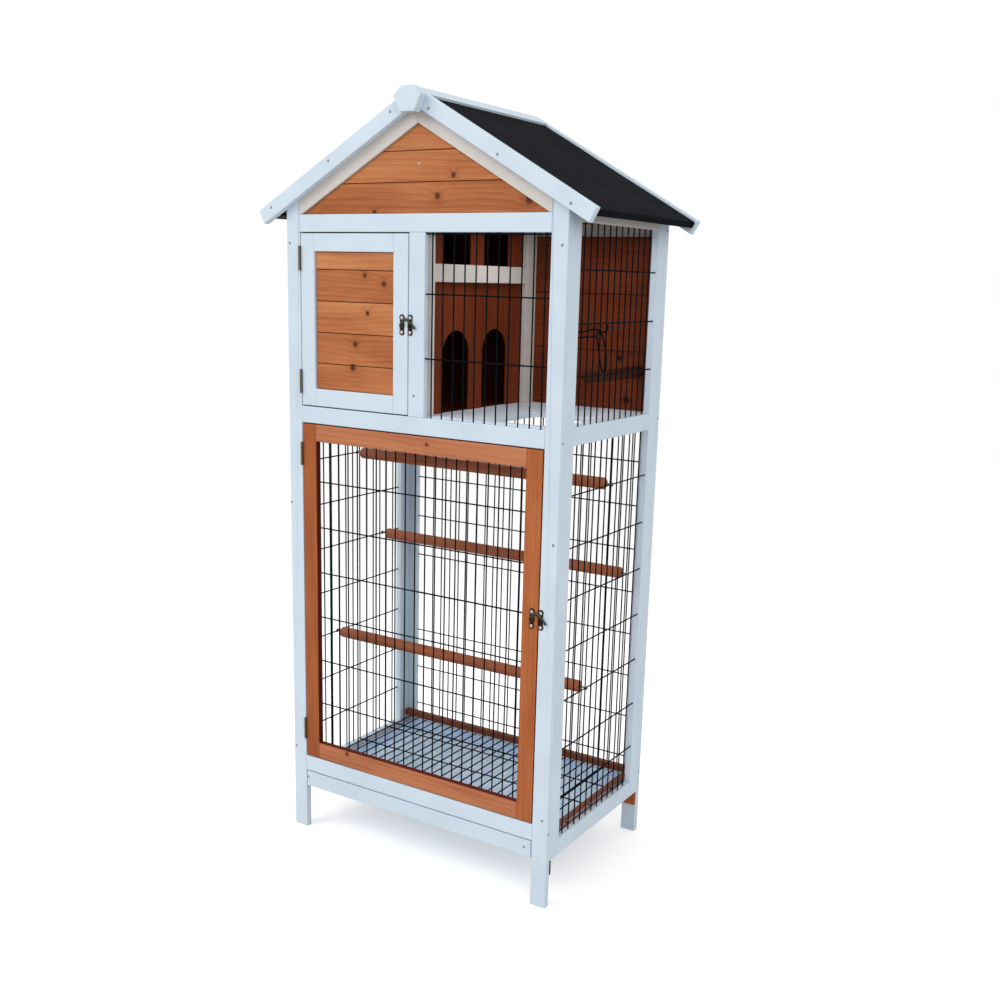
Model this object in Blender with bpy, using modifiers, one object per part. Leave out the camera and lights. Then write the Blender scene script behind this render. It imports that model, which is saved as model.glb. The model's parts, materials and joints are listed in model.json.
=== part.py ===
"""Wooden bird cage on four board legs: a wired flight space below, an upper room with a nest box,
two hinged doors with swing latches, a slide-out tray and a felted gable roof.

Metres, +Z up. The front faces -Y. The origin is on the ground, under the middle of the roof.
"""
import math

import bmesh
import bpy
from mathutils import Matrix, Vector

# Body
BODY_WIDTH = 0.672
BODY_DEPTH = 0.430
BOARD = 0.015
FRAME_WIDTH = 0.035
CENTRE_POST_WIDTH = 0.0385
GAP = 0.0003
EASE = 0.0008

# Front, from the ground up
TRAY_LOW = 0.1035
TRAY_GAP = 0.003
DOOR_GAP = 0.0025
LOWER_DOOR_HEIGHT = 0.759
UPPER_DOOR_HEIGHT = 0.354
UPPER_DOOR_WIDTH = 0.2775
DOOR_MEMBER = 0.036

# Sides and back
SIDE_LOW = 0.100
SIDE_MIDDLE_LOW = 0.944
SIDE_TOP_RAIL = 0.030
BACK_MIDDLE_LOW = 0.952

# Roof
ROOF_PITCH = math.radians(29.3)
ROOF_OVERHANG = 0.063
GABLE_INSET = 0.005
RAKE_WIDTH = 0.041
ROOF_PANEL = 0.010
EAVE_LIP = 0.013
EAVE_LIP_WIDTH = 0.015
FELT_DROP = 0.005
BARGEBOARD_WIDTH = 0.030
CAP_WIDTH = 0.0345
END_PLATE = 0.020
END_PLATE_TOP = 0.012
END_PLATE_SHOULDER = 0.031
END_PLATE_FOOT = 0.017
END_PLATE_HEIGHT = 0.047
END_PLATE_DROP = 0.002

# Planks
PLANK = 0.0095
PLANK_RECESS = 0.005
GROOVE = 0.0012
GABLE_PLANK_WIDTH = 0.058
DOOR_PLANK_WIDTH = 0.064
WALL_PLANK_WIDTH = 0.120

# Welded wire
WIRE = 0.0015
WELD = 0.0004
MESH_PITCH = 0.0254
FLOOR_ROW_PITCH = 0.1016
DOOR_ROW_PITCH = 0.1013
WINDOW_ROW_PITCH = 0.1252
SIDE_ROW_PITCH = 0.104
SIDE_FIRST_ROW = 0.088
SIDE_UPPER_ROW_PITCH = 0.099
SIDE_UPPER_FIRST_ROW = 0.094
BACK_ROW_PITCH = 0.0987
BACK_FIRST_ROW = 0.040
MESH_LAP = 0.0096
MESH_SETBACK = 0.0025
WINDOW_TOP_ROW = 0.003

# Upper room
FLOOR_BOARD = 0.009
PASSAGE_WIDTH = 0.150
PASSAGE_DEPTH = 0.180
PASSAGE_FROM_SIDE = 0.022
PASSAGE_FROM_FRONT = 0.024
NEST_WALL = 0.010
NEST_WALL_HEIGHT = 0.434
NEST_RAIL_HEIGHT = 0.262
NEST_POST = 0.040
NEST_STRIP = 0.004
ARCH_WIDTH = 0.097
LOWER_ARCH_HEIGHT = 0.166
UPPER_ARCH_HEIGHT = 0.112
ARCH_SPACING = 0.146
ARCH_MIDDLE = 0.175

# Perches of the flight space: distance from the front, and the side's wire row they sit at
PERCH_RADIUS = 0.0125
PERCH_PLACES = ((0.225, 6), (0.320, 4), (0.150, 2))
UPPER_PERCH_HEIGHT = 0.085
UPPER_PERCH_FROM_SIDE = 0.042
UPPER_PERCH_LENGTH = 0.235

# Wire clip on the upper side panel: places from the front and above the floor
CLIP_WIRE = 0.0012
CLIP_ARM_FRONT = 0.080
CLIP_LOOP_FRONT = 0.158
CLIP_LOOP_BACK = 0.194
CLIP_LOOP_DROP = 0.090
CLIP_ARM_DROP = 0.014
CLIP_ARM_HEIGHT = 0.011

# Floor and tray
BATTEN = 0.015
SIDE_BATTEN = 0.009
FOOT_BLOCK = 0.031
FRONT_BLOCK_WIDTH = 0.020
FRONT_BLOCK_DEPTH = 0.0055
BACK_BLOCK_WIDTH = 0.027
BACK_BLOCK_DEPTH = 0.008
RUNNER_WIDTH = 0.030
RUNNER_TOP = 0.115
RUNNER_LAP = 0.005
SHEET = 0.0012
TRAY_WALL = 0.0187
TRAY_SIDE_GAP = 0.002

# Hinges and latches
KNUCKLE = 0.0025
HINGE_PIN = 0.0010
HINGE_PIN_CLEARANCE = 0.0002
HINGE_LEAF = 0.0007
HINGE_HEIGHT = 0.050
LEAF_DEPTH = 0.0135
PIN_FORWARD = 0.003
UPPER_HINGE_INSET = 0.050
LOWER_HINGE_INSET = 0.065
LATCH_PLATE = 0.0012
LATCH_WIDTH = 0.0135
LATCH_HEIGHT = 0.046
LATCH_SPACING = 0.0205
LATCH_FROM_EDGE = 0.0133
LATCH_PIN = 0.0015
LATCH_HEAD = 0.0028
LATCH_HEAD_THICKNESS = 0.0010
LATCH_PEG = 0.0020
LATCH_PEG_LENGTH = 0.0045
HOOK_THICKNESS = 0.0025
HOOK_HALF_WIDTH = 0.0020
HOOK_EYE = 0.0045
HOOK_PIN_CLEARANCE = 0.0002
HOOK_PEG_CLEARANCE = 0.0004
HOOK_FACE_CLEARANCE = 0.0005
LOWER_LATCH_ABOVE_MIDDLE = 0.0475

# Heights and places that follow
X_LEFT = -BODY_WIDTH / 2
X_RIGHT = BODY_WIDTH / 2
FRONT_REACH = 2 * GAP + BOARD + END_PLATE
BACK_REACH = GAP + BOARD
Y_FRONT = -(BODY_DEPTH + BACK_REACH - FRONT_REACH) / 2
Y_BACK = Y_FRONT + BODY_DEPTH
Y_IN = Y_FRONT + BOARD
Y_OUT = Y_BACK - BOARD
X_IN = X_LEFT + BOARD
X_OUT = X_RIGHT - BOARD

TRAY_HIGH = TRAY_LOW + FRAME_WIDTH
BOTTOM_RAIL_LOW = TRAY_HIGH + TRAY_GAP
BOTTOM_RAIL_HIGH = BOTTOM_RAIL_LOW + FRAME_WIDTH
LOWER_DOOR_LOW = BOTTOM_RAIL_HIGH + DOOR_GAP
LOWER_DOOR_HIGH = LOWER_DOOR_LOW + LOWER_DOOR_HEIGHT
MIDDLE_RAIL_LOW = LOWER_DOOR_HIGH + DOOR_GAP
MIDDLE_RAIL_HIGH = MIDDLE_RAIL_LOW + FRAME_WIDTH
UPPER_DOOR_LOW = MIDDLE_RAIL_HIGH + DOOR_GAP
UPPER_DOOR_HIGH = UPPER_DOOR_LOW + UPPER_DOOR_HEIGHT
TOP_RAIL_LOW = UPPER_DOOR_HIGH + DOOR_GAP
TOP_RAIL_HIGH = TOP_RAIL_LOW + FRAME_WIDTH

DOOR_LEFT = X_LEFT + FRAME_WIDTH + DOOR_GAP
LOWER_DOOR_RIGHT = X_RIGHT - FRAME_WIDTH - DOOR_GAP
UPPER_DOOR_RIGHT = DOOR_LEFT + UPPER_DOOR_WIDTH
CENTRE_POST_LEFT = UPPER_DOOR_RIGHT + DOOR_GAP
CENTRE_POST_RIGHT = CENTRE_POST_LEFT + CENTRE_POST_WIDTH

SLOPE = math.tan(ROOF_PITCH)
GABLE_HALF = BODY_WIDTH / 2 - FRAME_WIDTH - GABLE_INSET
GABLE_BASE = TOP_RAIL_HIGH + GAP
GABLE_APEX = GABLE_BASE + GABLE_HALF * SLOPE
UNDER_ROOF_APEX = GABLE_APEX + RAKE_WIDTH / math.cos(ROOF_PITCH)
RIDGE = UNDER_ROOF_APEX + (GAP + ROOF_PANEL + FELT_DROP) / math.cos(ROOF_PITCH)
SIDE_TOP = UNDER_ROOF_APEX - BODY_WIDTH / 2 * SLOPE - GAP
ROOF_LENGTH = (BODY_WIDTH / 2 + ROOF_OVERHANG) / math.cos(ROOF_PITCH)

MESH_DEPTH = 4 * WIRE - WELD
MESH_ROOM = MESH_SETBACK + MESH_DEPTH + 2 * GAP
X_CLEAR_LEFT = X_LEFT + MESH_ROOM
X_CLEAR_RIGHT = X_RIGHT - MESH_ROOM
SIDE_ROOM_HIGH = SIDE_TOP - SIDE_TOP_RAIL
SIDE_MIDDLE_HIGH = SIDE_MIDDLE_LOW + FRAME_WIDTH
BACK_MIDDLE_HIGH = BACK_MIDDLE_LOW + FRAME_WIDTH
SIDE_BOTTOM_HIGH = SIDE_LOW + FRAME_WIDTH
FLOOR_TOP = SIDE_MIDDLE_HIGH
FLOOR_UNDER = FLOOR_TOP - FLOOR_BOARD
WALL_LAP_LOW = FLOOR_UNDER - MESH_LAP / 2
LEFT_WALL_FACE = X_IN + GAP + PLANK
NEST_WALL_RIGHT = CENTRE_POST_RIGHT - 0.004
NEST_WALL_LEFT = NEST_WALL_RIGHT - NEST_WALL
Y_ROOM = Y_IN + GAP
Y_PLANKS = Y_OUT - GAP - PLANK
SHELF_TOP = FLOOR_TOP + GAP + NEST_RAIL_HEIGHT + FRAME_WIDTH
GRID_LOW = TRAY_HIGH + GAP
FOOT_BLOCK_TOP = SIDE_LOW - GAP
PIN_X = (X_LEFT + FRAME_WIDTH + DOOR_LEFT) / 2
PIN_Y = Y_FRONT - PIN_FORWARD


def start():
    """Empties the scene and makes the two collections."""
    for obj in list(bpy.data.objects):
        bpy.data.objects.remove(obj, do_unlink=True)
    made = []
    for name in ("bird_cage", "cutters"):
        collection = bpy.data.collections.new(name)
        bpy.context.scene.collection.children.link(collection)
        made.append(collection)
    made[1].hide_render = True
    return made


PARTS, CUTTERS = start()


def finish(name, colour, roughness, metallic=0.0):
    """A plain material of one colour, given as sRGB from 0 to 1."""
    material = bpy.data.materials.new(name)
    material.use_nodes = True
    shader = material.node_tree.nodes["Principled BSDF"]
    linear = [pow(channel, 2.2) for channel in colour]
    shader.inputs["Base Color"].default_value = (*linear, 1.0)
    shader.inputs["Roughness"].default_value = roughness
    shader.inputs["Metallic"].default_value = metallic
    return material


WHITE_PAINT = ("white_paint", (0.84, 0.88, 0.91), 0.55)
STAINED_PLANK = ("stained_plank", (0.75, 0.48, 0.29), 0.60)
STAINED_FRAME = ("stained_frame", (0.69, 0.39, 0.23), 0.60)
DARK_PLANK = ("dark_plank", (0.45, 0.25, 0.17), 0.65)
PERCH_WOOD = ("perch_wood", (0.67, 0.35, 0.24), 0.60)
FELT = ("roof_felt", (0.13, 0.13, 0.15), 0.90)
COATED_WIRE = ("coated_wire", (0.11, 0.16, 0.18), 0.40, 0.3)
GALVANISED = ("galvanised_sheet", (0.66, 0.70, 0.75), 0.35, 0.9)
BRONZE = ("antique_bronze", (0.14, 0.12, 0.11), 0.40, 0.9)


def place(obj, name, look, collection=None):
    """Names an object, gives it its own material and puts it in its collection."""
    obj.name = name
    obj.data.name = name
    for owner in list(obj.users_collection):
        owner.objects.unlink(obj)
    (collection or PARTS).objects.link(obj)
    obj.data.materials.clear()
    obj.data.materials.append(finish(name + "_" + look[0], *look[1:]))
    return obj


def mesh_object(name, shape, look):
    """An object from a filled bmesh."""
    mesh = bpy.data.meshes.new(name)
    shape.to_mesh(mesh)
    shape.free()
    obj = bpy.data.objects.new(name, mesh)
    return place(obj, name, look)


def board(name, low, high, look, ease=EASE):
    """A board between two corners, with its edges eased."""
    low, high = Vector(low), Vector(high)
    shape = bmesh.new()
    bmesh.ops.create_cube(shape, size=1.0)
    bmesh.ops.scale(shape, vec=high - low, verts=shape.verts)
    obj = mesh_object(name, shape, look)
    obj.location = (low + high) / 2
    if ease:
        bevel = obj.modifiers.new("eased_edges", "BEVEL")
        bevel.width = ease
        bevel.segments = 1
    return obj


TURNS = {
    "XZ": Matrix.Rotation(math.radians(90), 4, "X"),
    "YZ": Matrix.Rotation(math.radians(90), 4, "Z") @ Matrix.Rotation(math.radians(90), 4, "X"),
    "XY": Matrix.Identity(4),
}
NORMALS = {"XZ": Vector((0, -1, 0)), "YZ": Vector((1, 0, 0)), "XY": Vector((0, 0, 1))}


def sheet(name, plane, loops, near, far, look):
    """A flat outline with its holes, filled and given the thickness between two offsets on the third axis."""
    curve = bpy.data.curves.new(name, "CURVE")
    curve.dimensions = "2D"
    curve.fill_mode = "BOTH"
    curve.extrude = (far - near) / 2
    for loop in loops:
        spline = curve.splines.new("POLY")
        spline.points.add(len(loop) - 1)
        for point, (across, up) in zip(spline.points, loop):
            point.co = (across, up, 0.0, 1.0)
        spline.use_cyclic_u = True
    drawn = bpy.data.objects.new(name, curve)
    PARTS.objects.link(drawn)
    along = Vector([abs(value) for value in NORMALS[plane]])
    matrix = Matrix.Translation(along * (near + far) / 2) @ TURNS[plane]
    bpy.context.view_layer.update()
    graph = bpy.context.evaluated_depsgraph_get()
    mesh = bpy.data.meshes.new_from_object(drawn.evaluated_get(graph))
    bpy.data.objects.remove(drawn, do_unlink=True)
    shape = bmesh.new()
    shape.from_mesh(mesh)
    bmesh.ops.remove_doubles(shape, verts=shape.verts, dist=0.00001)
    bmesh.ops.recalc_face_normals(shape, faces=shape.faces)
    bpy.data.meshes.remove(mesh)
    obj = mesh_object(name, shape, look)
    obj.matrix_world = matrix
    return obj


def rectangle(low_across, high_across, low_up, high_up):
    """The four corners of an upright rectangle."""
    return [
        (low_across, low_up),
        (high_across, low_up),
        (high_across, high_up),
        (low_across, high_up),
    ]


def rod(shape, start_point, end_point, radius, sides=16, turn=0.0):
    """Adds a closed straight rod to a bmesh, its first corner turned about its length."""
    start_point, end_point = Vector(start_point), Vector(end_point)
    along = end_point - start_point
    matrix = Matrix.Translation((start_point + end_point) / 2)
    matrix = matrix @ along.to_track_quat("Z", "Y").to_matrix().to_4x4()
    matrix = matrix @ Matrix.Rotation(turn, 4, "Z")
    bmesh.ops.create_cone(
        shape,
        cap_ends=True,
        segments=sides,
        radius1=radius,
        radius2=radius,
        depth=along.length,
        matrix=matrix,
    )


def rod_object(name, start_point, end_point, radius, look, sides=16):
    """A round rod as its own object, shaded smooth."""
    shape = bmesh.new()
    rod(shape, start_point, end_point, radius, sides)
    obj = mesh_object(name, shape, look)
    obj.data.shade_smooth()
    obj.data.set_sharp_from_angle(angle=math.radians(40))
    return obj


def cutter(obj):
    """Turns an object into a hidden cutter."""
    for owner in list(obj.users_collection):
        owner.objects.unlink(obj)
    CUTTERS.objects.link(obj)
    obj.hide_render = True
    obj.display_type = "WIRE"
    return obj


def combine(obj, other, operation):
    """Joins or cuts one object with another that stays as a hidden cutter."""
    boolean = obj.modifiers.new(operation.lower(), "BOOLEAN")
    boolean.operation = operation
    boolean.solver = "EXACT"
    boolean.object = cutter(other)
    return obj


def grooves(obj, heights, low_x, high_x, face_y):
    """Cuts level V grooves into a planked panel's face, where its boards meet."""
    shape = bmesh.new()
    for height in heights:
        rod(shape, (low_x, face_y, height), (high_x, face_y, height), GROOVE, sides=4)
    bars = mesh_object(obj.name + "_grooves", shape, STAINED_PLANK)
    return combine(obj, bars, "DIFFERENCE")


def plank_heights(low, high, width):
    """Where boards of one width meet, counted up from the lowest."""
    count = int((high - low) / width - 0.2)
    return [low + width * (index + 1) for index in range(count)]


def span(low, high, pitch):
    """Places at one pitch, centred between two ends, half a pitch or more inside them."""
    count = max(2, int((high - low) / pitch + 0.02))
    first = (low + high) / 2 - pitch * (count - 1) / 2
    return [first + pitch * index for index in range(count)]


def wire_panel(name, plane, columns, rows, column_ends, row_ends, face, inward):
    """A welded panel: upright wires, with level wires pressed into their backs.

    The level wires lie next to the frame's face and the upright ones behind them.
    """
    across_face = face + inward * (GAP + WIRE)
    column_face = across_face + inward * (2 * WIRE - WELD)

    def point(across, up, depth):
        if plane == "XZ":
            return (across, depth, up)
        if plane == "YZ":
            return (depth, across, up)
        return (across, up, depth)

    upright = bmesh.new()
    for across in columns:
        ends = [point(across, up, column_face) for up in column_ends]
        rod(upright, *ends, WIRE, sides=4)
    level = bmesh.new()
    for up in rows:
        ends = [point(across, up, across_face) for across in row_ends]
        rod(level, *ends, WIRE, sides=4)
    panel = mesh_object(name, upright, COATED_WIRE)
    return combine(panel, mesh_object(name + "_rows", level, COATED_WIRE), "UNION")


def under_roof(x):
    """Height of the roof panels' underside at one place across the body."""
    return UNDER_ROOF_APEX - abs(x) * SLOPE


def slope_point(side, down, rise):
    """A point of the roof: down the slope from the ridge line, and square above it. Side is -1 or 1."""
    across = down * math.cos(ROOF_PITCH) + rise * math.sin(ROOF_PITCH)
    height = RIDGE - down * math.sin(ROOF_PITCH) + rise * math.cos(ROOF_PITCH)
    return (side * across, height)


def slope_start(rise, across):
    """How far down the slope a point lies that is a given distance from the middle plane."""
    return (across - rise * math.sin(ROOF_PITCH)) / math.cos(ROOF_PITCH)


def front_frame():
    """Posts that run down as legs, rails between them and the post beside the upper door."""
    for side, name in ((-1, "post_front_left"), (1, "post_front_right")):
        outer = side * BODY_WIDTH / 2
        inner = side * (BODY_WIDTH / 2 - FRAME_WIDTH)
        loop = [(outer, 0), (inner, 0), (inner, under_roof(inner)), (outer, under_roof(outer))]
        sheet(name, "XZ", [loop], Y_FRONT, Y_IN, WHITE_PAINT)
    left = X_LEFT + FRAME_WIDTH + GAP
    right = X_RIGHT - FRAME_WIDTH - GAP
    rails = (
        ("front_bottom_rail", BOTTOM_RAIL_LOW, BOTTOM_RAIL_HIGH),
        ("front_middle_rail", MIDDLE_RAIL_LOW, MIDDLE_RAIL_HIGH),
        ("front_top_rail", TOP_RAIL_LOW, TOP_RAIL_HIGH),
    )
    for name, low, high in rails:
        board(name, (left, Y_FRONT, low), (right, Y_IN, high), WHITE_PAINT)
    board(
        "front_centre_post",
        (CENTRE_POST_LEFT, Y_FRONT, MIDDLE_RAIL_HIGH + GAP),
        (CENTRE_POST_RIGHT, Y_IN, TOP_RAIL_LOW - GAP),
        WHITE_PAINT,
    )


def gable_loop(inset):
    """The triangle inside the rakes, drawn in by an inset on every side."""
    base = GABLE_BASE + inset
    apex = GABLE_APEX - inset / math.cos(ROOF_PITCH)
    half = (apex - base) / SLOPE
    return [(-half, base), (half, base), (0.0, apex)]


def gable(name, face_y, back_y, grooved_y):
    """The planked triangle of one gable."""
    base, _, apex = gable_loop(GAP)
    panel = sheet(name, "XZ", [gable_loop(GAP)], face_y, back_y, STAINED_PLANK)
    heights = plank_heights(base[1], apex[1], GABLE_PLANK_WIDTH)
    return grooves(panel, heights, X_LEFT, X_RIGHT, grooved_y)


def gables():
    """Rake battens of the front and the planks of both gables."""
    end = BODY_WIDTH / 2 - FRAME_WIDTH - GAP
    rakes = [
        (-end, GABLE_BASE),
        (-GABLE_HALF, GABLE_BASE),
        (0.0, GABLE_APEX),
        (GABLE_HALF, GABLE_BASE),
        (end, GABLE_BASE),
        (end, under_roof(end)),
        (0.0, under_roof(0.0)),
        (-end, under_roof(end)),
    ]
    sheet("gable_rakes_front", "XZ", [rakes], Y_FRONT, Y_IN, WHITE_PAINT)
    front = Y_FRONT + PLANK_RECESS
    gable("gable_planks_front", front, front + PLANK, front)
    back = Y_BACK - PLANK_RECESS
    gable("gable_planks_back", back - PLANK, back, back)


def back_frame():
    """The glued back frame: legs, three rails and the rakes in one outline with three openings."""
    leg = BODY_WIDTH / 2 - FRAME_WIDTH
    outer = BODY_WIDTH / 2
    outline = [
        (-outer, 0.0),
        (-leg, 0.0),
        (-leg, SIDE_LOW),
        (leg, SIDE_LOW),
        (leg, 0.0),
        (outer, 0.0),
        (outer, under_roof(outer)),
        (0.0, under_roof(0.0)),
        (-outer, under_roof(outer)),
    ]
    flight = rectangle(-leg, leg, SIDE_BOTTOM_HIGH, BACK_MIDDLE_LOW)
    room = rectangle(-leg, leg, BACK_MIDDLE_HIGH, TOP_RAIL_LOW)
    loops = [outline, flight, room, gable_loop(0.0)]
    sheet("back_frame", "XZ", loops, Y_OUT, Y_BACK, WHITE_PAINT)


def side_frames():
    """The two ladder frames between the front posts and the back frame."""
    front, back = Y_IN + GAP, Y_OUT - GAP
    outline = rectangle(front, back, SIDE_LOW, SIDE_TOP)
    low_y, high_y = front + FRAME_WIDTH, back - FRAME_WIDTH
    flight = rectangle(low_y, high_y, SIDE_BOTTOM_HIGH, SIDE_MIDDLE_LOW)
    room = rectangle(low_y, high_y, SIDE_MIDDLE_HIGH, SIDE_ROOM_HIGH)
    for name, near, far in (("side_frame_left", X_LEFT, X_IN), ("side_frame_right", X_OUT, X_RIGHT)):
        sheet(name, "YZ", [outline, flight, room], near, far, WHITE_PAINT)


def planked_walls():
    """The planked upper back wall and the planked upper left wall."""
    low = BACK_MIDDLE_HIGH - MESH_LAP / 4
    high = TOP_RAIL_LOW + MESH_LAP
    back_face = Y_PLANKS
    back = board(
        "back_planks",
        (X_IN + 2 * GAP, back_face, FLOOR_TOP + GAP),
        (X_OUT - 2 * GAP, back_face + PLANK, high),
        STAINED_PLANK,
        ease=0,
    )
    heights = plank_heights(low, high, WALL_PLANK_WIDTH)
    grooves(back, heights, X_LEFT, X_RIGHT, back_face)
    left = board(
        "left_planks",
        (X_IN + GAP, Y_ROOM, WALL_LAP_LOW),
        (LEFT_WALL_FACE, Y_PLANKS - GAP, SIDE_ROOM_HIGH + MESH_LAP),
        STAINED_PLANK,
        ease=0,
    )
    shape = bmesh.new()
    face = LEFT_WALL_FACE
    for height in heights:
        rod(shape, (face, Y_FRONT, height), (face, Y_BACK, height), GROOVE, sides=4)
    combine(left, mesh_object("left_planks_grooves", shape, STAINED_PLANK), "DIFFERENCE")


def rows_up(first, pitch, limit):
    """Heights of level wires at one pitch, up to a limit."""
    return [first + pitch * index for index in range(int((limit - first) / pitch) + 1)]


def captured_panel(name, plane, members, opening, pitches, rows, face, inward):
    """A welded panel whose wire ends lie in a groove cut round its opening, near the outer face.

    The opening is low and high across, then low and high up; members are the boards round it.
    """
    low_across, high_across, low_up, high_up = opening
    reach = MESH_LAP + GAP
    far = face + inward * (MESH_DEPTH + 2 * GAP)
    slab = sheet(
        name + "_groove",
        plane,
        [rectangle(low_across - reach, high_across + reach, low_up - reach, high_up + reach)],
        min(face, far),
        max(face, far),
        COATED_WIRE,
    )
    for member in members:
        combine(bpy.data.objects[member], slab, "DIFFERENCE")
    columns = span(low_across, high_across, pitches)
    ends = (low_up - MESH_LAP, high_up + MESH_LAP)
    row_ends = (low_across - MESH_LAP, high_across + MESH_LAP)
    return wire_panel(name, plane, columns, rows, ends, row_ends, face, inward)


def wire_panels():
    """The window, the side panels and the back panel."""
    left, right = CENTRE_POST_RIGHT, X_RIGHT - FRAME_WIDTH
    low, high = MIDDLE_RAIL_HIGH, TOP_RAIL_LOW
    rows = [*span(low, high, WINDOW_ROW_PITCH), high - WINDOW_TOP_ROW]
    members = ("post_front_right", "front_centre_post", "front_middle_rail", "front_top_rail")
    face = Y_FRONT + MESH_SETBACK
    captured_panel("window_mesh", "XZ", members, (left, right, low, high), MESH_PITCH, rows, face, 1)

    low_y, high_y = Y_IN + GAP + FRAME_WIDTH, Y_OUT - GAP - FRAME_WIDTH
    opening = (low_y, high_y, SIDE_BOTTOM_HIGH, SIDE_MIDDLE_LOW)
    rows = rows_up(SIDE_BOTTOM_HIGH + SIDE_FIRST_ROW, SIDE_ROW_PITCH, SIDE_MIDDLE_LOW - 2 * MESH_LAP)
    right_face, left_face = X_RIGHT - MESH_SETBACK, X_LEFT + MESH_SETBACK
    panels = (
        ("side_mesh_lower_right", "side_frame_right", right_face, -1),
        ("side_mesh_lower_left", "side_frame_left", left_face, 1),
    )
    for name, member, face, inward in panels:
        captured_panel(name, "YZ", (member,), opening, MESH_PITCH, rows, face, inward)
    opening = (low_y, high_y, SIDE_MIDDLE_HIGH, SIDE_ROOM_HIGH)
    first = SIDE_MIDDLE_HIGH + SIDE_UPPER_FIRST_ROW
    rows = rows_up(first, SIDE_UPPER_ROW_PITCH, SIDE_ROOM_HIGH - 2 * MESH_LAP)
    name = "side_mesh_upper_right"
    captured_panel(name, "YZ", ("side_frame_right",), opening, MESH_PITCH, rows, right_face, -1)

    leg = BODY_WIDTH / 2 - FRAME_WIDTH
    opening = (-leg, leg, SIDE_BOTTOM_HIGH, BACK_MIDDLE_LOW)
    rows = rows_up(SIDE_BOTTOM_HIGH + BACK_FIRST_ROW, BACK_ROW_PITCH, BACK_MIDDLE_LOW - MESH_LAP)
    face = Y_BACK - MESH_SETBACK
    captured_panel("back_mesh", "XZ", ("back_frame",), opening, MESH_PITCH, rows, face, -1)


def arch(centre, low, width, height):
    """Points up one side of a round-topped opening, over its top and down the other side."""
    radius = width / 2
    spring = low + height - radius
    steps = [math.radians(180 - 18 * index) for index in range(11)]
    curve = [(centre + radius * math.cos(step), spring + radius * math.sin(step)) for step in steps]
    return [(centre - radius, low), *curve, (centre + radius, low)]


def upper_room():
    """The floor with its passage, the nest wall with its arched openings, and what frames it."""
    right = X_OUT - PASSAGE_FROM_SIDE
    front = Y_IN + PASSAGE_FROM_FRONT
    outline = rectangle(LEFT_WALL_FACE + GAP, X_OUT - GAP, Y_ROOM, Y_OUT - GAP)
    passage = rectangle(right - PASSAGE_WIDTH, right, front, front + PASSAGE_DEPTH)
    sheet("upper_floor", "XY", [outline, passage], FLOOR_UNDER, FLOOR_TOP, WHITE_PAINT)

    front, back = Y_ROOM, Y_PLANKS - GAP
    low = FLOOR_TOP + GAP
    high = low + NEST_WALL_HEIGHT
    middle = front + ARCH_MIDDLE
    centres = (middle - ARCH_SPACING / 2, middle + ARCH_SPACING / 2)
    outline = [(front, low)]
    for centre in centres:
        outline += arch(centre, low, ARCH_WIDTH, LOWER_ARCH_HEIGHT)
    outline += [(back, low), (back, high), (front, high)]
    sill = SHELF_TOP + 2 * EASE
    holes = [arch(centre, sill, ARCH_WIDTH, UPPER_ARCH_HEIGHT) for centre in centres]
    sheet("nest_wall", "YZ", [outline, *holes], NEST_WALL_LEFT, NEST_WALL_RIGHT, STAINED_PLANK)

    rail_low = low + NEST_RAIL_HEIGHT
    rail_high = rail_low + FRAME_WIDTH
    post = back - NEST_POST
    strip = front + NEST_STRIP
    frame = [
        (front, low),
        (strip, low),
        (strip, rail_low),
        (post, rail_low),
        (post, low),
        (back, low),
        (back, high),
        (post, high),
        (post, rail_high),
        (strip, rail_high),
        (strip, high),
        (front, high),
    ]
    near = NEST_WALL_RIGHT + GAP
    sheet("nest_frame", "YZ", [frame], near, near + BOARD, WHITE_PAINT)
    board(
        "nest_shelf",
        (LEFT_WALL_FACE + GAP, front, SHELF_TOP - FLOOR_BOARD),
        (NEST_WALL_LEFT - GAP, back, SHELF_TOP),
        DARK_PLANK,
        ease=0,
    )


def perches():
    """Three dowels across the flight space, and one that stands out from the upper room's back wall."""
    first = SIDE_BOTTOM_HIGH + SIDE_FIRST_ROW
    for index, (depth, row) in enumerate(PERCH_PLACES):
        height = first + SIDE_ROW_PITCH * row
        ends = ((side, Y_FRONT + depth, height) for side in (X_CLEAR_LEFT, X_CLEAR_RIGHT))
        rod_object(f"perch_{index + 1}", *ends, PERCH_RADIUS, PERCH_WOOD)
    across = X_RIGHT - UPPER_PERCH_FROM_SIDE
    height = FLOOR_TOP + UPPER_PERCH_HEIGHT
    back = Y_PLANKS - GAP
    ends = ((across, back - UPPER_PERCH_LENGTH, height), (across, back, height))
    rod_object("perch_upper", *ends, PERCH_RADIUS, PERCH_WOOD)


def bent_wire(name, points, radius, look):
    """A wire bent through a row of points, closed at both ends."""
    curve = bpy.data.curves.new(name, "CURVE")
    curve.dimensions = "3D"
    curve.bevel_depth = radius
    curve.bevel_resolution = 2
    curve.use_fill_caps = True
    spline = curve.splines.new("POLY")
    spline.points.add(len(points) - 1)
    for point, place_of in zip(spline.points, points):
        point.co = (*place_of, 1.0)
    drawn = bpy.data.objects.new(name, curve)
    PARTS.objects.link(drawn)
    graph = bpy.context.evaluated_depsgraph_get()
    mesh = bpy.data.meshes.new_from_object(drawn.evaluated_get(graph))
    bpy.data.objects.remove(drawn, do_unlink=True)
    shape = bmesh.new()
    shape.from_mesh(mesh)
    bmesh.ops.remove_doubles(shape, verts=shape.verts, dist=0.00001)
    bmesh.ops.recalc_face_normals(shape, faces=shape.faces)
    bpy.data.meshes.remove(mesh)
    obj = mesh_object(name, shape, look)
    obj.data.shade_smooth()
    return obj


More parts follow.
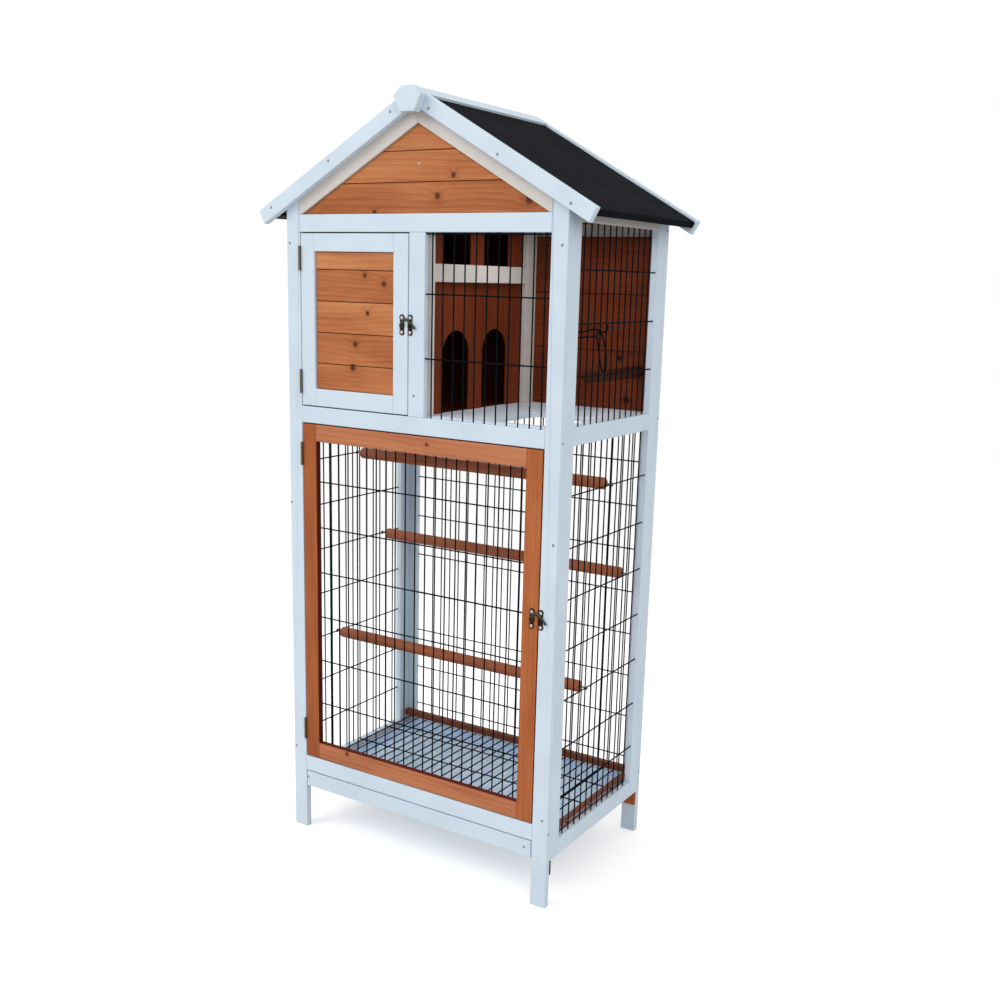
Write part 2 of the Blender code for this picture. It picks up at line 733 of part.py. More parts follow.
def softened(points, cut):
    """Cuts each inner corner of a path back to two points, so that a wire bends gently."""
    points = [Vector(point) for point in points]
    path = [points[0]]
    for before, corner, after in zip(points, points[1:], points[2:]):
        path.append(corner + (before - corner).normalized() * cut)
        path.append(corner + (after - corner).normalized() * cut)
    path.append(points[-1])
    return path


def food_clip():
    """A bent wire clip: a two-bar arm, a long loop, and a hook over a level wire of the side panel."""
    row = SIDE_MIDDLE_HIGH + SIDE_UPPER_FIRST_ROW + SIDE_UPPER_ROW_PITCH
    inner = X_CLEAR_RIGHT - CLIP_WIRE
    outer = X_RIGHT - MESH_SETBACK + CLIP_WIRE
    arm = row - CLIP_ARM_DROP
    loop_low = row - CLIP_LOOP_DROP
    front = Y_FRONT + CLIP_ARM_FRONT
    loop_front = Y_FRONT + CLIP_LOOP_FRONT
    loop_back = Y_FRONT + CLIP_LOOP_BACK
    over = row + WIRE + CLIP_WIRE + 2 * GAP
    path = [
        (inner, loop_front - 4 * CLIP_WIRE, arm - CLIP_ARM_HEIGHT),
        (inner, front, arm - CLIP_ARM_HEIGHT),
        (inner, front, arm),
        (inner, loop_front, arm),
        (inner, loop_front, loop_low),
        (inner, loop_back, loop_low),
        (inner, loop_back, over),
        (outer, loop_back, over),
        (outer, loop_back, over - 6 * CLIP_WIRE),
    ]
    bent_wire("food_clip", softened(path, 1.2 * CLIP_WIRE), CLIP_WIRE, COATED_WIRE)


def between(first, second):
    """The low and the high end of two values."""
    return (min(first, second), max(first, second))


def tray_runner(name, side):
    """A runner along one side frame, glued to a foot block inside each leg that the frame stands on."""
    face = side * (BODY_WIDTH / 2 - BOARD - GAP)
    low_x, high_x = between(face, face - side * RUNNER_WIDTH)
    front, back = Y_IN + GAP, Y_OUT - GAP
    runner = board(
        name,
        (low_x, front, FOOT_BLOCK_TOP - RUNNER_LAP),
        (high_x, back, RUNNER_TOP),
        STAINED_FRAME,
        ease=0,
    )
    outer = side * BODY_WIDTH / 2
    blocks = (
        ("front", FRONT_BLOCK_WIDTH, front, front + FRONT_BLOCK_DEPTH),
        ("back", BACK_BLOCK_WIDTH, back - BACK_BLOCK_DEPTH, back),
    )
    for end, width, near, far in blocks:
        low_x, high_x = between(outer, outer - side * width)
        block = board(
            f"{name}_block_{end}",
            (low_x, near, FOOT_BLOCK_TOP - FOOT_BLOCK),
            (high_x, far, FOOT_BLOCK_TOP),
            STAINED_FRAME,
            ease=0,
        )
        combine(runner, block, "UNION")


def floor_and_tray():
    """The wire floor, the battens that hold it down, the tray and the runners it slides on."""
    left, right = X_IN + GAP, X_OUT - GAP
    front, back = Y_IN + GAP, Y_OUT - GAP
    columns = span(left, right, MESH_PITCH)
    rows = span(front, back, FLOOR_ROW_PITCH)
    wire_panel("floor_mesh", "XY", columns, rows, (front, back), (left, right), GRID_LOW - GAP, 1)
    low = GRID_LOW + MESH_DEPTH + GAP
    high = low + BATTEN
    board(
        "floor_batten_back",
        (X_IN + 2 * GAP, back - BATTEN, low),
        (X_OUT - 2 * GAP, back, high),
        STAINED_FRAME,
    )
    board(
        "floor_batten_right",
        (right - SIDE_BATTEN, front, low),
        (right, back - BATTEN - GAP, low + SIDE_BATTEN),
        STAINED_FRAME,
    )
    for side, hand in ((-1, "left"), (1, "right")):
        tray_runner(f"tray_runner_{hand}", side)
    half = BODY_WIDTH / 2 - FRAME_WIDTH - TRAY_SIDE_GAP
    low = RUNNER_TOP + GAP
    pan = board(
        "tray_pan",
        (-half, Y_IN + GAP, low),
        (half, Y_OUT - GAP, low + TRAY_WALL),
        GALVANISED,
        ease=0,
    )
    room = board(
        "tray_room",
        (-half + SHEET, Y_IN + GAP + SHEET, low + SHEET),
        (half - SHEET, Y_OUT - GAP - SHEET, low + 2 * TRAY_WALL),
        GALVANISED,
        ease=0,
    )
    combine(pan, room, "DIFFERENCE")
    board(
        "tray_front",
        (DOOR_LEFT, Y_FRONT, TRAY_LOW),
        (LOWER_DOOR_RIGHT, Y_IN, TRAY_HIGH),
        WHITE_PAINT,
    )


def roof():
    """Two felted panels, the bargeboards along their ends, and the ridge cap with its front end plate."""
    under = -FELT_DROP - ROOF_PANEL
    eave = ROOF_LENGTH - BOARD / 4
    lip = eave - EAVE_LIP_WIDTH
    middle = GAP / 2
    notch = CAP_WIDTH + GAP
    for side, hand in ((-1, "left"), (1, "right")):
        panel = [
            slope_point(side, slope_start(-FELT_DROP, middle), -FELT_DROP),
            slope_point(side, eave, -FELT_DROP),
            slope_point(side, eave, -FELT_DROP - EAVE_LIP),
            slope_point(side, lip, -FELT_DROP - EAVE_LIP),
            slope_point(side, lip, under),
            slope_point(side, slope_start(under, middle), under),
        ]
        sheet(f"roof_panel_{hand}", "XZ", [panel], Y_FRONT, Y_BACK, FELT)
        low = -BARGEBOARD_WIDTH
        barge = [
            slope_point(side, slope_start(-FELT_DROP, middle), -FELT_DROP),
            slope_point(side, notch, -FELT_DROP),
            slope_point(side, notch, 0.0),
            slope_point(side, ROOF_LENGTH, 0.0),
            slope_point(side, ROOF_LENGTH, low),
            slope_point(side, slope_start(low, middle), low),
        ]
        front = Y_FRONT - GAP
        sheet(f"bargeboard_front_{hand}", "XZ", [barge], front - BOARD, front, WHITE_PAINT)
        back = Y_BACK + GAP
        sheet(f"bargeboard_back_{hand}", "XZ", [barge], back, back + BOARD, WHITE_PAINT)

    rise = -FELT_DROP + GAP
    inner = RIDGE + rise / math.cos(ROOF_PITCH)
    cap = [
        (0.0, RIDGE),
        slope_point(1, CAP_WIDTH, 0.0),
        slope_point(1, CAP_WIDTH, rise),
        (0.0, inner),
        slope_point(-1, CAP_WIDTH, rise),
        slope_point(-1, CAP_WIDTH, 0.0),
    ]
    face = Y_FRONT - 2 * GAP - BOARD
    lap = END_PLATE / 4
    ridge = sheet("ridge_cap", "XZ", [cap], face - lap, Y_BACK + GAP + BOARD, WHITE_PAINT)
    top = RIDGE - END_PLATE_DROP
    plate = [
        (-END_PLATE_TOP, top),
        (END_PLATE_TOP, top),
        (END_PLATE_SHOULDER, top - END_PLATE_HEIGHT / 3),
        (END_PLATE_SHOULDER, top - END_PLATE_HEIGHT * 0.4),
        (END_PLATE_FOOT, top - END_PLATE_HEIGHT),
        (-END_PLATE_FOOT, top - END_PLATE_HEIGHT),
        (-END_PLATE_SHOULDER, top - END_PLATE_HEIGHT * 0.4),
        (-END_PLATE_SHOULDER, top - END_PLATE_HEIGHT / 3),
    ]
    end = sheet("ridge_end_plate", "XZ", [plate], face - END_PLATE, face, WHITE_PAINT)
    combine(ridge, end, "UNION")


def door_frame(name, left, right, low, high, look):
    """A door's frame, and the corners of the opening in it."""
    hole = (left + DOOR_MEMBER, right - DOOR_MEMBER, low + DOOR_MEMBER, high - DOOR_MEMBER)
    loops = [rectangle(left, right, low, high), rectangle(*hole)]
    return sheet(name, "XZ", loops, Y_FRONT, Y_IN, look), hole


def doors():
    """The wired lower door and the planked upper door."""
    lower, hole = door_frame(
        "lower_door_frame",
        DOOR_LEFT,
        LOWER_DOOR_RIGHT,
        LOWER_DOOR_LOW,
        LOWER_DOOR_HIGH,
        STAINED_FRAME,
    )
    left, right, low, high = hole
    columns = span(left, right, MESH_PITCH)
    rows = span(low, high, DOOR_ROW_PITCH)
    ends = (low - MESH_LAP, high + MESH_LAP)
    row_ends = (left - MESH_LAP, right + MESH_LAP)
    mesh = wire_panel("lower_door_mesh", "XZ", columns, rows, ends, row_ends, Y_IN, 1)

    upper, hole = door_frame(
        "upper_door_frame",
        DOOR_LEFT,
        UPPER_DOOR_RIGHT,
        UPPER_DOOR_LOW,
        UPPER_DOOR_HIGH,
        WHITE_PAINT,
    )
    left, right, low, high = hole
    face = Y_FRONT + PLANK_RECESS
    planks = board(
        "upper_door_planks",
        (left + GAP, face, low + GAP),
        (right - GAP, Y_IN, high - GAP),
        STAINED_PLANK,
        ease=0,
    )
    heights = [high - DOOR_MEMBER - DOOR_PLANK_WIDTH * index for index in range(4)]
    grooves(planks, heights, left - GAP, right + GAP, face)
    return [lower, mesh], [upper, planks]


def turned(name, profile, look, steps=16):
    """A solid turned about its own upright axis, from points (radius, height) down its outer side."""
    mesh = bpy.data.meshes.new(name)
    edges = [(index, index + 1) for index in range(len(profile) - 1)]
    mesh.from_pydata([(radius, 0.0, height) for radius, height in profile], edges, [])
    obj = bpy.data.objects.new(name, mesh)
    place(obj, name, look)
    screw = obj.modifiers.new("turned", "SCREW")
    screw.axis = "Z"
    screw.steps = steps
    screw.render_steps = steps
    screw.use_merge_vertices = True
    screw.merge_threshold = 0.00005
    screw.use_normal_calculate = True
    return obj


def hinge(prefix, middle):
    """One butt hinge: a leaf on the post with the pin, and a leaf on the door that turns on it."""
    low, high = middle - HINGE_HEIGHT / 2, middle + HINGE_HEIGHT / 2
    third = HINGE_HEIGHT / 3
    post_face = X_LEFT + FRAME_WIDTH + GAP
    edge = Y_FRONT + GAP
    back = Y_FRONT + LEAF_DEPTH
    reach = PIN_Y + (KNUCKLE + HINGE_PIN + HINGE_PIN_CLEARANCE) / 2
    leaf = [
        (reach, low),
        (back, low),
        (back, high),
        (reach, high),
        (reach, high - third),
        (edge, high - third),
        (edge, low + third),
        (reach, low + third),
    ]
    frame_leaf = sheet(f"{prefix}_frame_leaf", "YZ", [leaf], post_face, post_face + HINGE_LEAF, BRONZE)
    barrel = [
        (0.0, high),
        (KNUCKLE, high),
        (KNUCKLE, high - third),
        (HINGE_PIN, high - third),
        (HINGE_PIN, low + third),
        (KNUCKLE, low + third),
        (KNUCKLE, low),
        (0.0, low),
    ]
    knuckles = turned(f"{prefix}_frame_knuckles", barrel, BRONZE)
    knuckles.location = (PIN_X, PIN_Y, 0.0)
    combine(frame_leaf, knuckles, "UNION")

    low_third, high_third = low + third + GAP, high - third - GAP
    leaf = [
        (edge, low),
        (back, low),
        (back, high),
        (edge, high),
        (edge, high_third),
        (reach, high_third),
        (reach, low_third),
        (edge, low_third),
    ]
    near = DOOR_LEFT - GAP - HINGE_LEAF
    door_leaf = sheet(f"{prefix}_door_leaf", "YZ", [leaf], near, near + HINGE_LEAF, BRONZE)
    bore = HINGE_PIN + HINGE_PIN_CLEARANCE
    tube = [
        (bore, high_third),
        (KNUCKLE, high_third),
        (KNUCKLE, low_third),
        (bore, low_third),
        (bore, high_third),
    ]
    knuckle = turned(f"{prefix}_door_knuckle", tube, BRONZE)
    knuckle.location = (PIN_X, PIN_Y, 0.0)
    combine(door_leaf, knuckle, "UNION")
    return door_leaf


def hinges(door, low, high, inset):
    """The two hinges of one door."""
    places = (("upper", high - inset), ("lower", low + inset))
    return [hinge(f"{door}_hinge_{which}", middle) for which, middle in places]


def circle(centre, radius, first, last, count):
    """Points of an arc, with its angles in degrees."""
    turns = [math.radians(first + (last - first) * index / (count - 1)) for index in range(count)]
    return [(centre[0] + radius * math.cos(turn), centre[1] + radius * math.sin(turn)) for turn in turns]


def latch_plate(name, across, up):
    """An upright plate with round ends."""
    half, straight = LATCH_WIDTH / 2, (LATCH_HEIGHT - LATCH_WIDTH) / 2
    outline = circle((across, up + straight), half, 0, 180, 9)
    outline += circle((across, up - straight), half, 180, 360, 9)
    back = Y_FRONT - GAP
    return sheet(name, "XZ", [outline], back - LATCH_PLATE, back, BRONZE)


def ribbon_sides(path, half):
    """The two edges of a strip of even width that follows a path."""
    path = [Vector(point) for point in path]
    left, right = [], []
    for index, point in enumerate(path):
        before = path[max(index - 1, 0)]
        after = path[min(index + 1, len(path) - 1)]
        back_way = (point - before).normalized() if index else (after - point).normalized()
        way = (after - point).normalized() if index < len(path) - 1 else back_way
        normal = Vector((-(back_way + way).y, (back_way + way).x)).normalized()
        widened = half / normal.dot(Vector((-way.y, way.x)))
        left.append(tuple(point + normal * widened))
        right.append(tuple(point - normal * widened))
    return left, right


def latch(prefix, door_edge, up):
    """A swing latch: a plate with a pin on the door, a hook that turns on it, and a keeper with a peg."""
    across = door_edge - LATCH_FROM_EDGE
    keeper_across = across + LATCH_SPACING
    face = Y_FRONT - GAP - LATCH_PLATE
    seat = Y_FRONT - GAP - LATCH_PLATE / 2
    keeper = latch_plate(f"{prefix}_latch_keeper", keeper_across, up)
    length = seat - (face - LATCH_PEG_LENGTH)
    peg = [(0.0, length), (LATCH_PEG * 0.8, length), (LATCH_PEG, length * 0.9), (LATCH_PEG, 0.0), (0.0, 0.0)]
    peg = turned(f"{prefix}_latch_peg", peg, BRONZE)
    peg.location = (keeper_across, seat, up)
    peg.rotation_euler = (math.radians(90), 0.0, 0.0)
    combine(keeper, peg, "UNION")

    plate = latch_plate(f"{prefix}_latch_plate", across, up)
    hook_back = face - HOOK_FACE_CLEARANCE
    hook_front = hook_back - HOOK_THICKNESS
    neck = seat - (hook_front - GAP)
    pin = [
        (0.0, neck + LATCH_HEAD_THICKNESS),
        (LATCH_HEAD * 0.7, neck + LATCH_HEAD_THICKNESS),
        (LATCH_HEAD, neck + LATCH_HEAD_THICKNESS / 2),
        (LATCH_HEAD, neck),
        (LATCH_PIN, neck),
        (LATCH_PIN, 0.0),
        (0.0, 0.0),
    ]
    pin = turned(f"{prefix}_latch_pin", pin, BRONZE)
    pin.location = (across, seat, up)
    pin.rotation_euler = (math.radians(90), 0.0, 0.0)
    combine(plate, pin, "UNION")

    bend = LATCH_PEG + HOOK_PEG_CLEARANCE + HOOK_HALF_WIDTH
    peg_at = (LATCH_SPACING, 0.0)
    tip = (LATCH_SPACING + 2.5 * bend, -1.7 * bend)
    path = [(HOOK_EYE, HOOK_HALF_WIDTH / 4)]
    path += circle(peg_at, bend, 145, -10, 9)
    path += [(LATCH_SPACING + 1.5 * bend, -1.1 * bend), tip]
    upper, lower = ribbon_sides(path, HOOK_HALF_WIDTH)
    outline = circle((0.0, 0.0), HOOK_EYE, 32, 332, 15)
    knob = circle(tip, 1.3 * HOOK_HALF_WIDTH, -120, 70, 7)
    outline += lower[1:-1] + knob + list(reversed(upper[1:-1]))
    eye = circle((0.0, 0.0), LATCH_PIN + HOOK_PIN_CLEARANCE, 0, 345, 16)
    loops = [[(across + x, up + z) for x, z in loop] for loop in (outline, eye)]
    hook = sheet(f"{prefix}_latch_hook", "XZ", loops, hook_front, hook_back, BRONZE)
    return plate, hook


def joint(name, where, members, parent=None):
    """An empty on a joint's axis, with the pieces that move about it parented to it."""
    empty = bpy.data.objects.new(name, None)
    PARTS.objects.link(empty)
    empty.location = where
    empty.parent = parent
    bpy.context.view_layer.update()
    if parent:
        empty.matrix_parent_inverse = parent.matrix_world.inverted()
        bpy.context.view_layer.update()
    for member in members:
        member.parent = empty
        member.matrix_parent_inverse = empty.matrix_world.inverted()
    return empty


def main():
    """Builds every piece, frame first, then hangs the moving ones on their axes."""
    front_frame()
    gables()
    back_frame()
    side_frames()
    planked_walls()
    wire_panels()
    upper_room()
    perches()
    food_clip()
    floor_and_tray()
    roof()
    lower, upper = doors()
    lower += hinges("lower_door", LOWER_DOOR_LOW, LOWER_DOOR_HIGH, LOWER_HINGE_INSET)
    upper += hinges("upper_door", UPPER_DOOR_LOW, UPPER_DOOR_HIGH, UPPER_HINGE_INSET)
    lower_up = (LOWER_DOOR_LOW + LOWER_DOOR_HIGH) / 2 + LOWER_LATCH_ABOVE_MIDDLE
    upper_up = (UPPER_DOOR_LOW + UPPER_DOOR_HIGH) / 2
    lower_plate, lower_hook = latch("lower", LOWER_DOOR_RIGHT, lower_up)
    upper_plate, upper_hook = latch("upper", UPPER_DOOR_RIGHT, upper_up)
    lower_joint = joint("lower_door_axis", (PIN_X, PIN_Y, LOWER_DOOR_LOW), [*lower, lower_plate])
    upper_joint = joint("upper_door_axis", (PIN_X, PIN_Y, UPPER_DOOR_LOW), [*upper, upper_plate])
    lower_at = (LOWER_DOOR_RIGHT - LATCH_FROM_EDGE, Y_FRONT, lower_up)
    upper_at = (UPPER_DOOR_RIGHT - LATCH_FROM_EDGE, Y_FRONT, upper_up)
    joint("lower_hook_axis", lower_at, [lower_hook], lower_joint)
    joint("upper_hook_axis", upper_at, [upper_hook], upper_joint)
    tray = [bpy.data.objects["tray_pan"], bpy.data.objects["tray_front"]]
    joint("tray_axis", (0.0, Y_FRONT, TRAY_LOW), tray)


main()
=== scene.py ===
"""Looks of the wooden bird cage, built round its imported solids.

Every size that a solid already has is read from that solid's box. What is written here is only what the
solids leave out: eased edges, plank joints, round wires, screws, paint, stain, felt and the light.
"""
import json
import logging
import math
from dataclasses import dataclass, field
from enum import Enum
from typing import Any, Iterable, Sequence

import bmesh
import bpy
import numpy as np
from mathutils import Matrix, Vector


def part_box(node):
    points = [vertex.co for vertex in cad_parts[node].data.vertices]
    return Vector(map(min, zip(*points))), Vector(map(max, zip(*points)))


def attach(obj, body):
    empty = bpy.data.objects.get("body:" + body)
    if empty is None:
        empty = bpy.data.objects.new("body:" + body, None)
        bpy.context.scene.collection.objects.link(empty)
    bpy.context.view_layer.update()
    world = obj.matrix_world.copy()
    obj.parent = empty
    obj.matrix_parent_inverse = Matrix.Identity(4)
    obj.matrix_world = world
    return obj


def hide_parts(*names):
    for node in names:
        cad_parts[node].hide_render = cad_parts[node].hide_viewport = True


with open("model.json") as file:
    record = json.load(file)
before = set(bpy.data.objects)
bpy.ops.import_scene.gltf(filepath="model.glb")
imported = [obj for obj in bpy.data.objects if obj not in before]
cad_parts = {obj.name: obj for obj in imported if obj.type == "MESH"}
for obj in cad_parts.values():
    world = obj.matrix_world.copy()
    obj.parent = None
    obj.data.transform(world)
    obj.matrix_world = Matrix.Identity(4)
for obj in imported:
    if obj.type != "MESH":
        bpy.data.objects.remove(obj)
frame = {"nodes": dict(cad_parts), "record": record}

Array = np.ndarray
Pair = tuple[float, float]
Pairs = Sequence[Pair]
Spots = tuple[Pair, ...]
Point = tuple[float, float, float]
Stops = tuple[tuple[float, Any], ...]

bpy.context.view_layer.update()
LOG = logging.getLogger("bird_cage")
MM = 0.001
SEAM = 0.2 * MM
EASE = 1.2 * MM
FINE_EASE = 0.1 * MM
# A small round is drawn as a middle point, about one less the cosine of 45 degrees in from both faces
ROUND = 0.29
SQUARE = np.array([(0, 0), (1, 0), (1, 1), (0, 1)])


class Axis(Enum):
    """A direction of the shared frame."""

    X = 0
    Y = 1
    Z = 2

    @property
    def others(self) -> list[int]:
        """Numbers of the two other directions."""
        return [axis.value for axis in Axis if axis is not self]


X, Y, Z = Axis


class Plane(Enum):
    """The two axes that an outline is drawn on; the third is the one it is carried along."""

    XZ = (0, 2, 1)
    YZ = (1, 2, 0)
    XY = (0, 1, 2)


class Body(Enum):
    """The bodies that pieces ride on."""

    CAGE = "cage"
    UPPER_DOOR = "upper_door"
    LOWER_DOOR = "lower_door"
    UPPER_HOOK = "upper_hook"
    LOWER_HOOK = "lower_hook"
    TRAY = "tray"


def linear(code: str) -> tuple[float, float, float, float]:
    """Turns an sRGB hex code, six digits after a #, into linear red, green, blue and an alpha of one."""
    parts = [int(code[start:start + 2], 16) / 255 for start in (1, 3, 5)]
    return tuple(p / 12.92 if p <= 0.04045 else ((p + 0.055) / 1.055) ** 2.4 for p in parts) + (1.0,)


def corners(node: str) -> tuple[Array, Array]:
    """Lowest and highest corner of a solid, in metres."""
    low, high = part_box(node)
    return np.array(low), np.array(high)


# Surfaces


@dataclass
class Surface:
    """Points, faces and the grain place of each point: along, across and into the board, in metres."""

    points: Array
    faces: list[tuple[int, ...]]
    grain: Array


def tube_faces(rows: int, columns: int, near_end: bool = True, far_end: bool = True) -> list[tuple[int, ...]]:
    """Faces of a tube of points: four-sided ones between neighbouring rings, and its flat ends.

    Args:
        rows: how many rings there are.
        columns: how many points a ring has.
        near_end: whether the first ring is closed.
        far_end: whether the last ring is closed.

    Returns:
        The corner indices of each face.
    """
    row, column = np.meshgrid(np.arange(rows - 1), np.arange(columns), indexing="ij")
    here, beside = row * columns + column, row * columns + (column + 1) % columns
    quads = np.stack([here, beside, beside + columns, here + columns], axis=-1)
    faces = [tuple(quad) for quad in quads.reshape(-1, 4).tolist()]
    if near_end:
        faces.append(tuple(reversed(range(columns))))
    if far_end:
        faces.append(tuple(range((rows - 1) * columns, rows * columns)))
    return faces


def unit(vectors: Array) -> Array:
    """The same directions, each one long."""
    return vectors / np.linalg.norm(vectors, axis=1, keepdims=True)


def circle(sides: int) -> Array:
    """Points (cos t, sin t) of a round section."""
    turn = np.linspace(0, 2 * math.pi, sides, endpoint=False)
    return np.stack([np.cos(turn), np.sin(turn)], axis=1)


def inset(outline: Array, amounts: Array) -> Array:
    """Draws an outline in by several amounts at once.

    Each corner moves along the sum of its two edges' inward normals, divided by one plus their dot
    product (at least 0.2), so that both edges stay parallel to where they were.

    Args:
        outline: corners in order, turning left.
        amounts: how far each copy is drawn in, in metres.

    Returns:
        One row of corners for each amount.
    """
    ahead = unit(np.roll(outline, -1, axis=0) - outline)
    normal = np.stack([-ahead[:, 1], ahead[:, 0]], axis=1)
    before = np.roll(normal, 1, axis=0)
    share = 1 + (normal * before).sum(axis=1, keepdims=True)
    step = (normal + before) / np.maximum(share, 0.2)
    return outline[None] + amounts[:, None, None] * step[None]


def eased_corners(outline: Pairs, ease: float) -> Array:
    """Cuts every corner of an outline back to three points on a small round.

    Args:
        outline: corners in order.
        ease: how far from the corner the cut starts, in metres.

    Returns:
        The corners of the eased outline.
    """
    points = np.array(outline, float)
    to_before = unit(np.roll(points, 1, axis=0) - points)
    to_after = unit(np.roll(points, -1, axis=0) - points)
    middle = points + ROUND * ease * (to_before + to_after)
    return np.stack([points + ease * to_before, middle, points + ease * to_after], axis=1).reshape(-1, 2)


def ease_profile(depth: float, ease: float) -> list[Pair]:
    """A board's edge from its near face to its far one, as (drawn in, height) pairs on two small rounds."""
    near = [(ease, 0.0), (ROUND * ease, ROUND * ease), (0.0, ease)]
    return near + [(drawn, depth - height) for drawn, height in reversed(near)]


def grain_of(points: Array, along: Axis, seed: int) -> Array:
    """Places of points along, across and into their own board, moved by the seed so that no two match."""
    return points[:, [along.value, *along.others]] + np.random.default_rng(seed * 7 + 3).uniform(1.0, 9.0, 3)


def loft(
    outline: Pairs, profile: Pairs, plane: Plane, start: float, along: Axis = X, seed: int = 0
) -> Surface:
    """Stacks copies of an outline, each drawn in and raised as a profile says, and closes both ends.

    A point is (outline corner k drawn in by profile entry j, start plus the height of entry j).

    Args:
        outline: corners on the plane, in order.
        profile: (drawn in, height) pairs from the near face to the far face.
        plane: the axes that the outline is drawn on.
        start: where the near face lies on the third axis.
        along: the axis that the wood's grain follows.
        seed: picks this board's own stretch of grain.

    Returns:
        A closed surface.
    """
    edge = np.array(outline, float)
    after = np.roll(edge, -1, axis=0)
    if (edge[:, 0] * after[:, 1] - after[:, 0] * edge[:, 1]).sum() < 0:
        edge = edge[::-1]
    drawn, height = np.array(profile, float).T
    points = np.zeros((len(drawn), len(edge), 3))
    points[..., plane.value[:2]] = inset(edge, drawn)
    points[..., plane.value[2]] = start + height[:, None]
    flat = points.reshape(-1, 3)
    return Surface(flat, tube_faces(len(drawn), len(edge)), grain_of(flat, along, seed))


def board(low: Sequence[float], high: Sequence[float], along: Axis, seed: int, ease: float = EASE) -> Surface:
    """A rectangular board with every edge eased.

    Args:
        low: its lowest corner.
        high: its highest corner.
        along: the axis that the grain follows.
        seed: picks its grain.
        ease: radius of its edges in metres.

    Returns:
        A closed surface.
    """
    low, high = np.array(low), np.array(high)
    thin = int(np.argmin(high - low))
    plane = next(plane for plane in Plane if plane.value[2] == thin)
    sides = list(plane.value[:2])
    outline = np.where(SQUARE, high[sides], low[sides])
    profile = ease_profile(high[thin] - low[thin], ease)
    return loft(eased_corners(outline, ease), profile, plane, low[thin], along, seed)


def panel(
    outline: Pairs, near: float, far: float, plane: Plane, along: Axis, seed: int, ease: float = 1.0 * MM
) -> Surface:
    """A flat piece of any outline between two places on the third axis, its faces' edges eased."""
    return loft(outline, ease_profile(far - near, ease), plane, near, along, seed)


def swept(path: Array, section: Array, up: Sequence[float], scale: Array | float = 1.0) -> Surface:
    """Carries a section along a path that lies in one plane.

    A point is the path's point, plus the section's first number along the path's side and its second
    along the plane's normal, times the scale there.

    Args:
        path: points in order, in metres.
        section: closed outline, as (side, normal) pairs in metres.
        up: the plane's normal.
        scale: one number, or one for each point of the path.

    Returns:
        A surface closed at both ends.
    """
    side = unit(np.cross(unit(np.gradient(path, axis=0)), up))
    offset = side[:, None] * section[:, :1] + np.array(up) * section[:, 1:]
    flat = (path[:, None] + offset * np.reshape(scale, (-1, 1, 1))).reshape(-1, 3)
    return Surface(flat, tube_faces(len(path), len(section)), flat.copy())


def turned(profile: Pairs, centre: Sequence[float], along: Axis, sides: int, flip: bool = False) -> Surface:
    """Turns a profile about an axis: a point is radius times (cos t, sin t) at the profile's height.

    Args:
        profile: (radius, height) pairs; a radius of zero closes an end.
        centre: the point of the axis where the height is zero.
        along: the axis that it turns about.
        sides: points round each circle.
        flip: whether height runs towards the axis's low end.

    Returns:
        A surface whose poles are merged when its mesh is made.
    """
    radius, height = np.array(profile).T
    points = np.zeros((len(radius), sides, 3))
    points[..., along.others] = radius[:, None, None] * circle(sides)
    points[..., along.value] = (-height if flip else height)[:, None]
    flat = points.reshape(-1, 3) + np.array(centre)
    return Surface(flat, tube_faces(len(radius), sides, False, False), grain_of(flat, along, sides))


def in_mm(profile: Iterable[Pair]) -> list[Pair]:
    """A profile that is written in millimetres, in metres."""
    return [(wide * MM, rise * MM) for wide, rise in profile]


def make_piece(
    name: str,
    surfaces: Sequence[Surface],
    finish: "Finish",
    stands_for: str | None = None,
    body: Body = Body.CAGE,
    smooth: float | None = None,
    tones: Sequence[float] | None = None,
) -> None:
    """Makes the mesh of one piece, dresses it and lets it ride on its body.

    Args:
        name: the piece's name.
        surfaces: its closed surfaces.
        finish: what it is finished with.
        stands_for: the solid that it is shown in place of, if any.
        body: the body that it moves with.
        smooth: the angle in degrees below which edges are shaded smooth, or None for flat shading.
        tones: how dark each surface's wood is, from 0 to 1, or None for a random choice.
    """
    counts = [len(surface.points) for surface in surfaces]
    starts = np.cumsum([0, *counts]).tolist()
    faces = [tuple(at + start for at in face) for part, start in zip(surfaces, starts) for face in part.faces]
    mesh = bpy.data.meshes.new(name)
    mesh.from_pydata(np.concatenate([part.points for part in surfaces]).tolist(), [], faces)
    if tones is None:
        tones = np.random.default_rng(len(name) + 5 * len(surfaces)).uniform(0.2, 0.8, len(surfaces))
    grain = np.concatenate([part.grain for part in surfaces])
    layers = (
        ("grain", "FLOAT_VECTOR", "vector", grain),
        ("tone", "FLOAT", "value", np.repeat(tones, counts)),
    )
    for label, kind, slot, values in layers:
        layer = mesh.attributes.new(label, kind, "POINT")
        layer.data.foreach_set(slot, values.astype(np.float32).ravel())
    shape = bmesh.new()
    shape.from_mesh(mesh)
    bmesh.ops.remove_doubles(shape, verts=shape.verts, dist=1e-6)
    bmesh.ops.dissolve_degenerate(shape, edges=shape.edges, dist=1e-7)
    bmesh.ops.recalc_face_normals(shape, faces=shape.faces)
    shape.to_mesh(mesh)
    shape.free()
    if smooth is not None:
        mesh.shade_smooth()
        mesh.set_sharp_from_angle(angle=math.radians(smooth))
    piece = bpy.data.objects.new(name, mesh)
    bpy.context.scene.collection.objects.link(piece)
    mesh.materials.append(finish.material())
    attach(piece, body.value)
    if stands_for:
        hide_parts(stands_for)
    LOG.info("%s: %d faces on %s", name, len(mesh.polygons), body.value)


def whole_board(
    node: str, part: str, along: Axis, seed: int, finish: "Finish", body: Body = Body.CAGE
) -> None:
    """Makes one eased board in place of a whole solid; its name is the solid's and one more word."""
    make_piece(f"{node}_{part}", [board(*corners(node), along, seed)], finish, node, body)


# Finishes


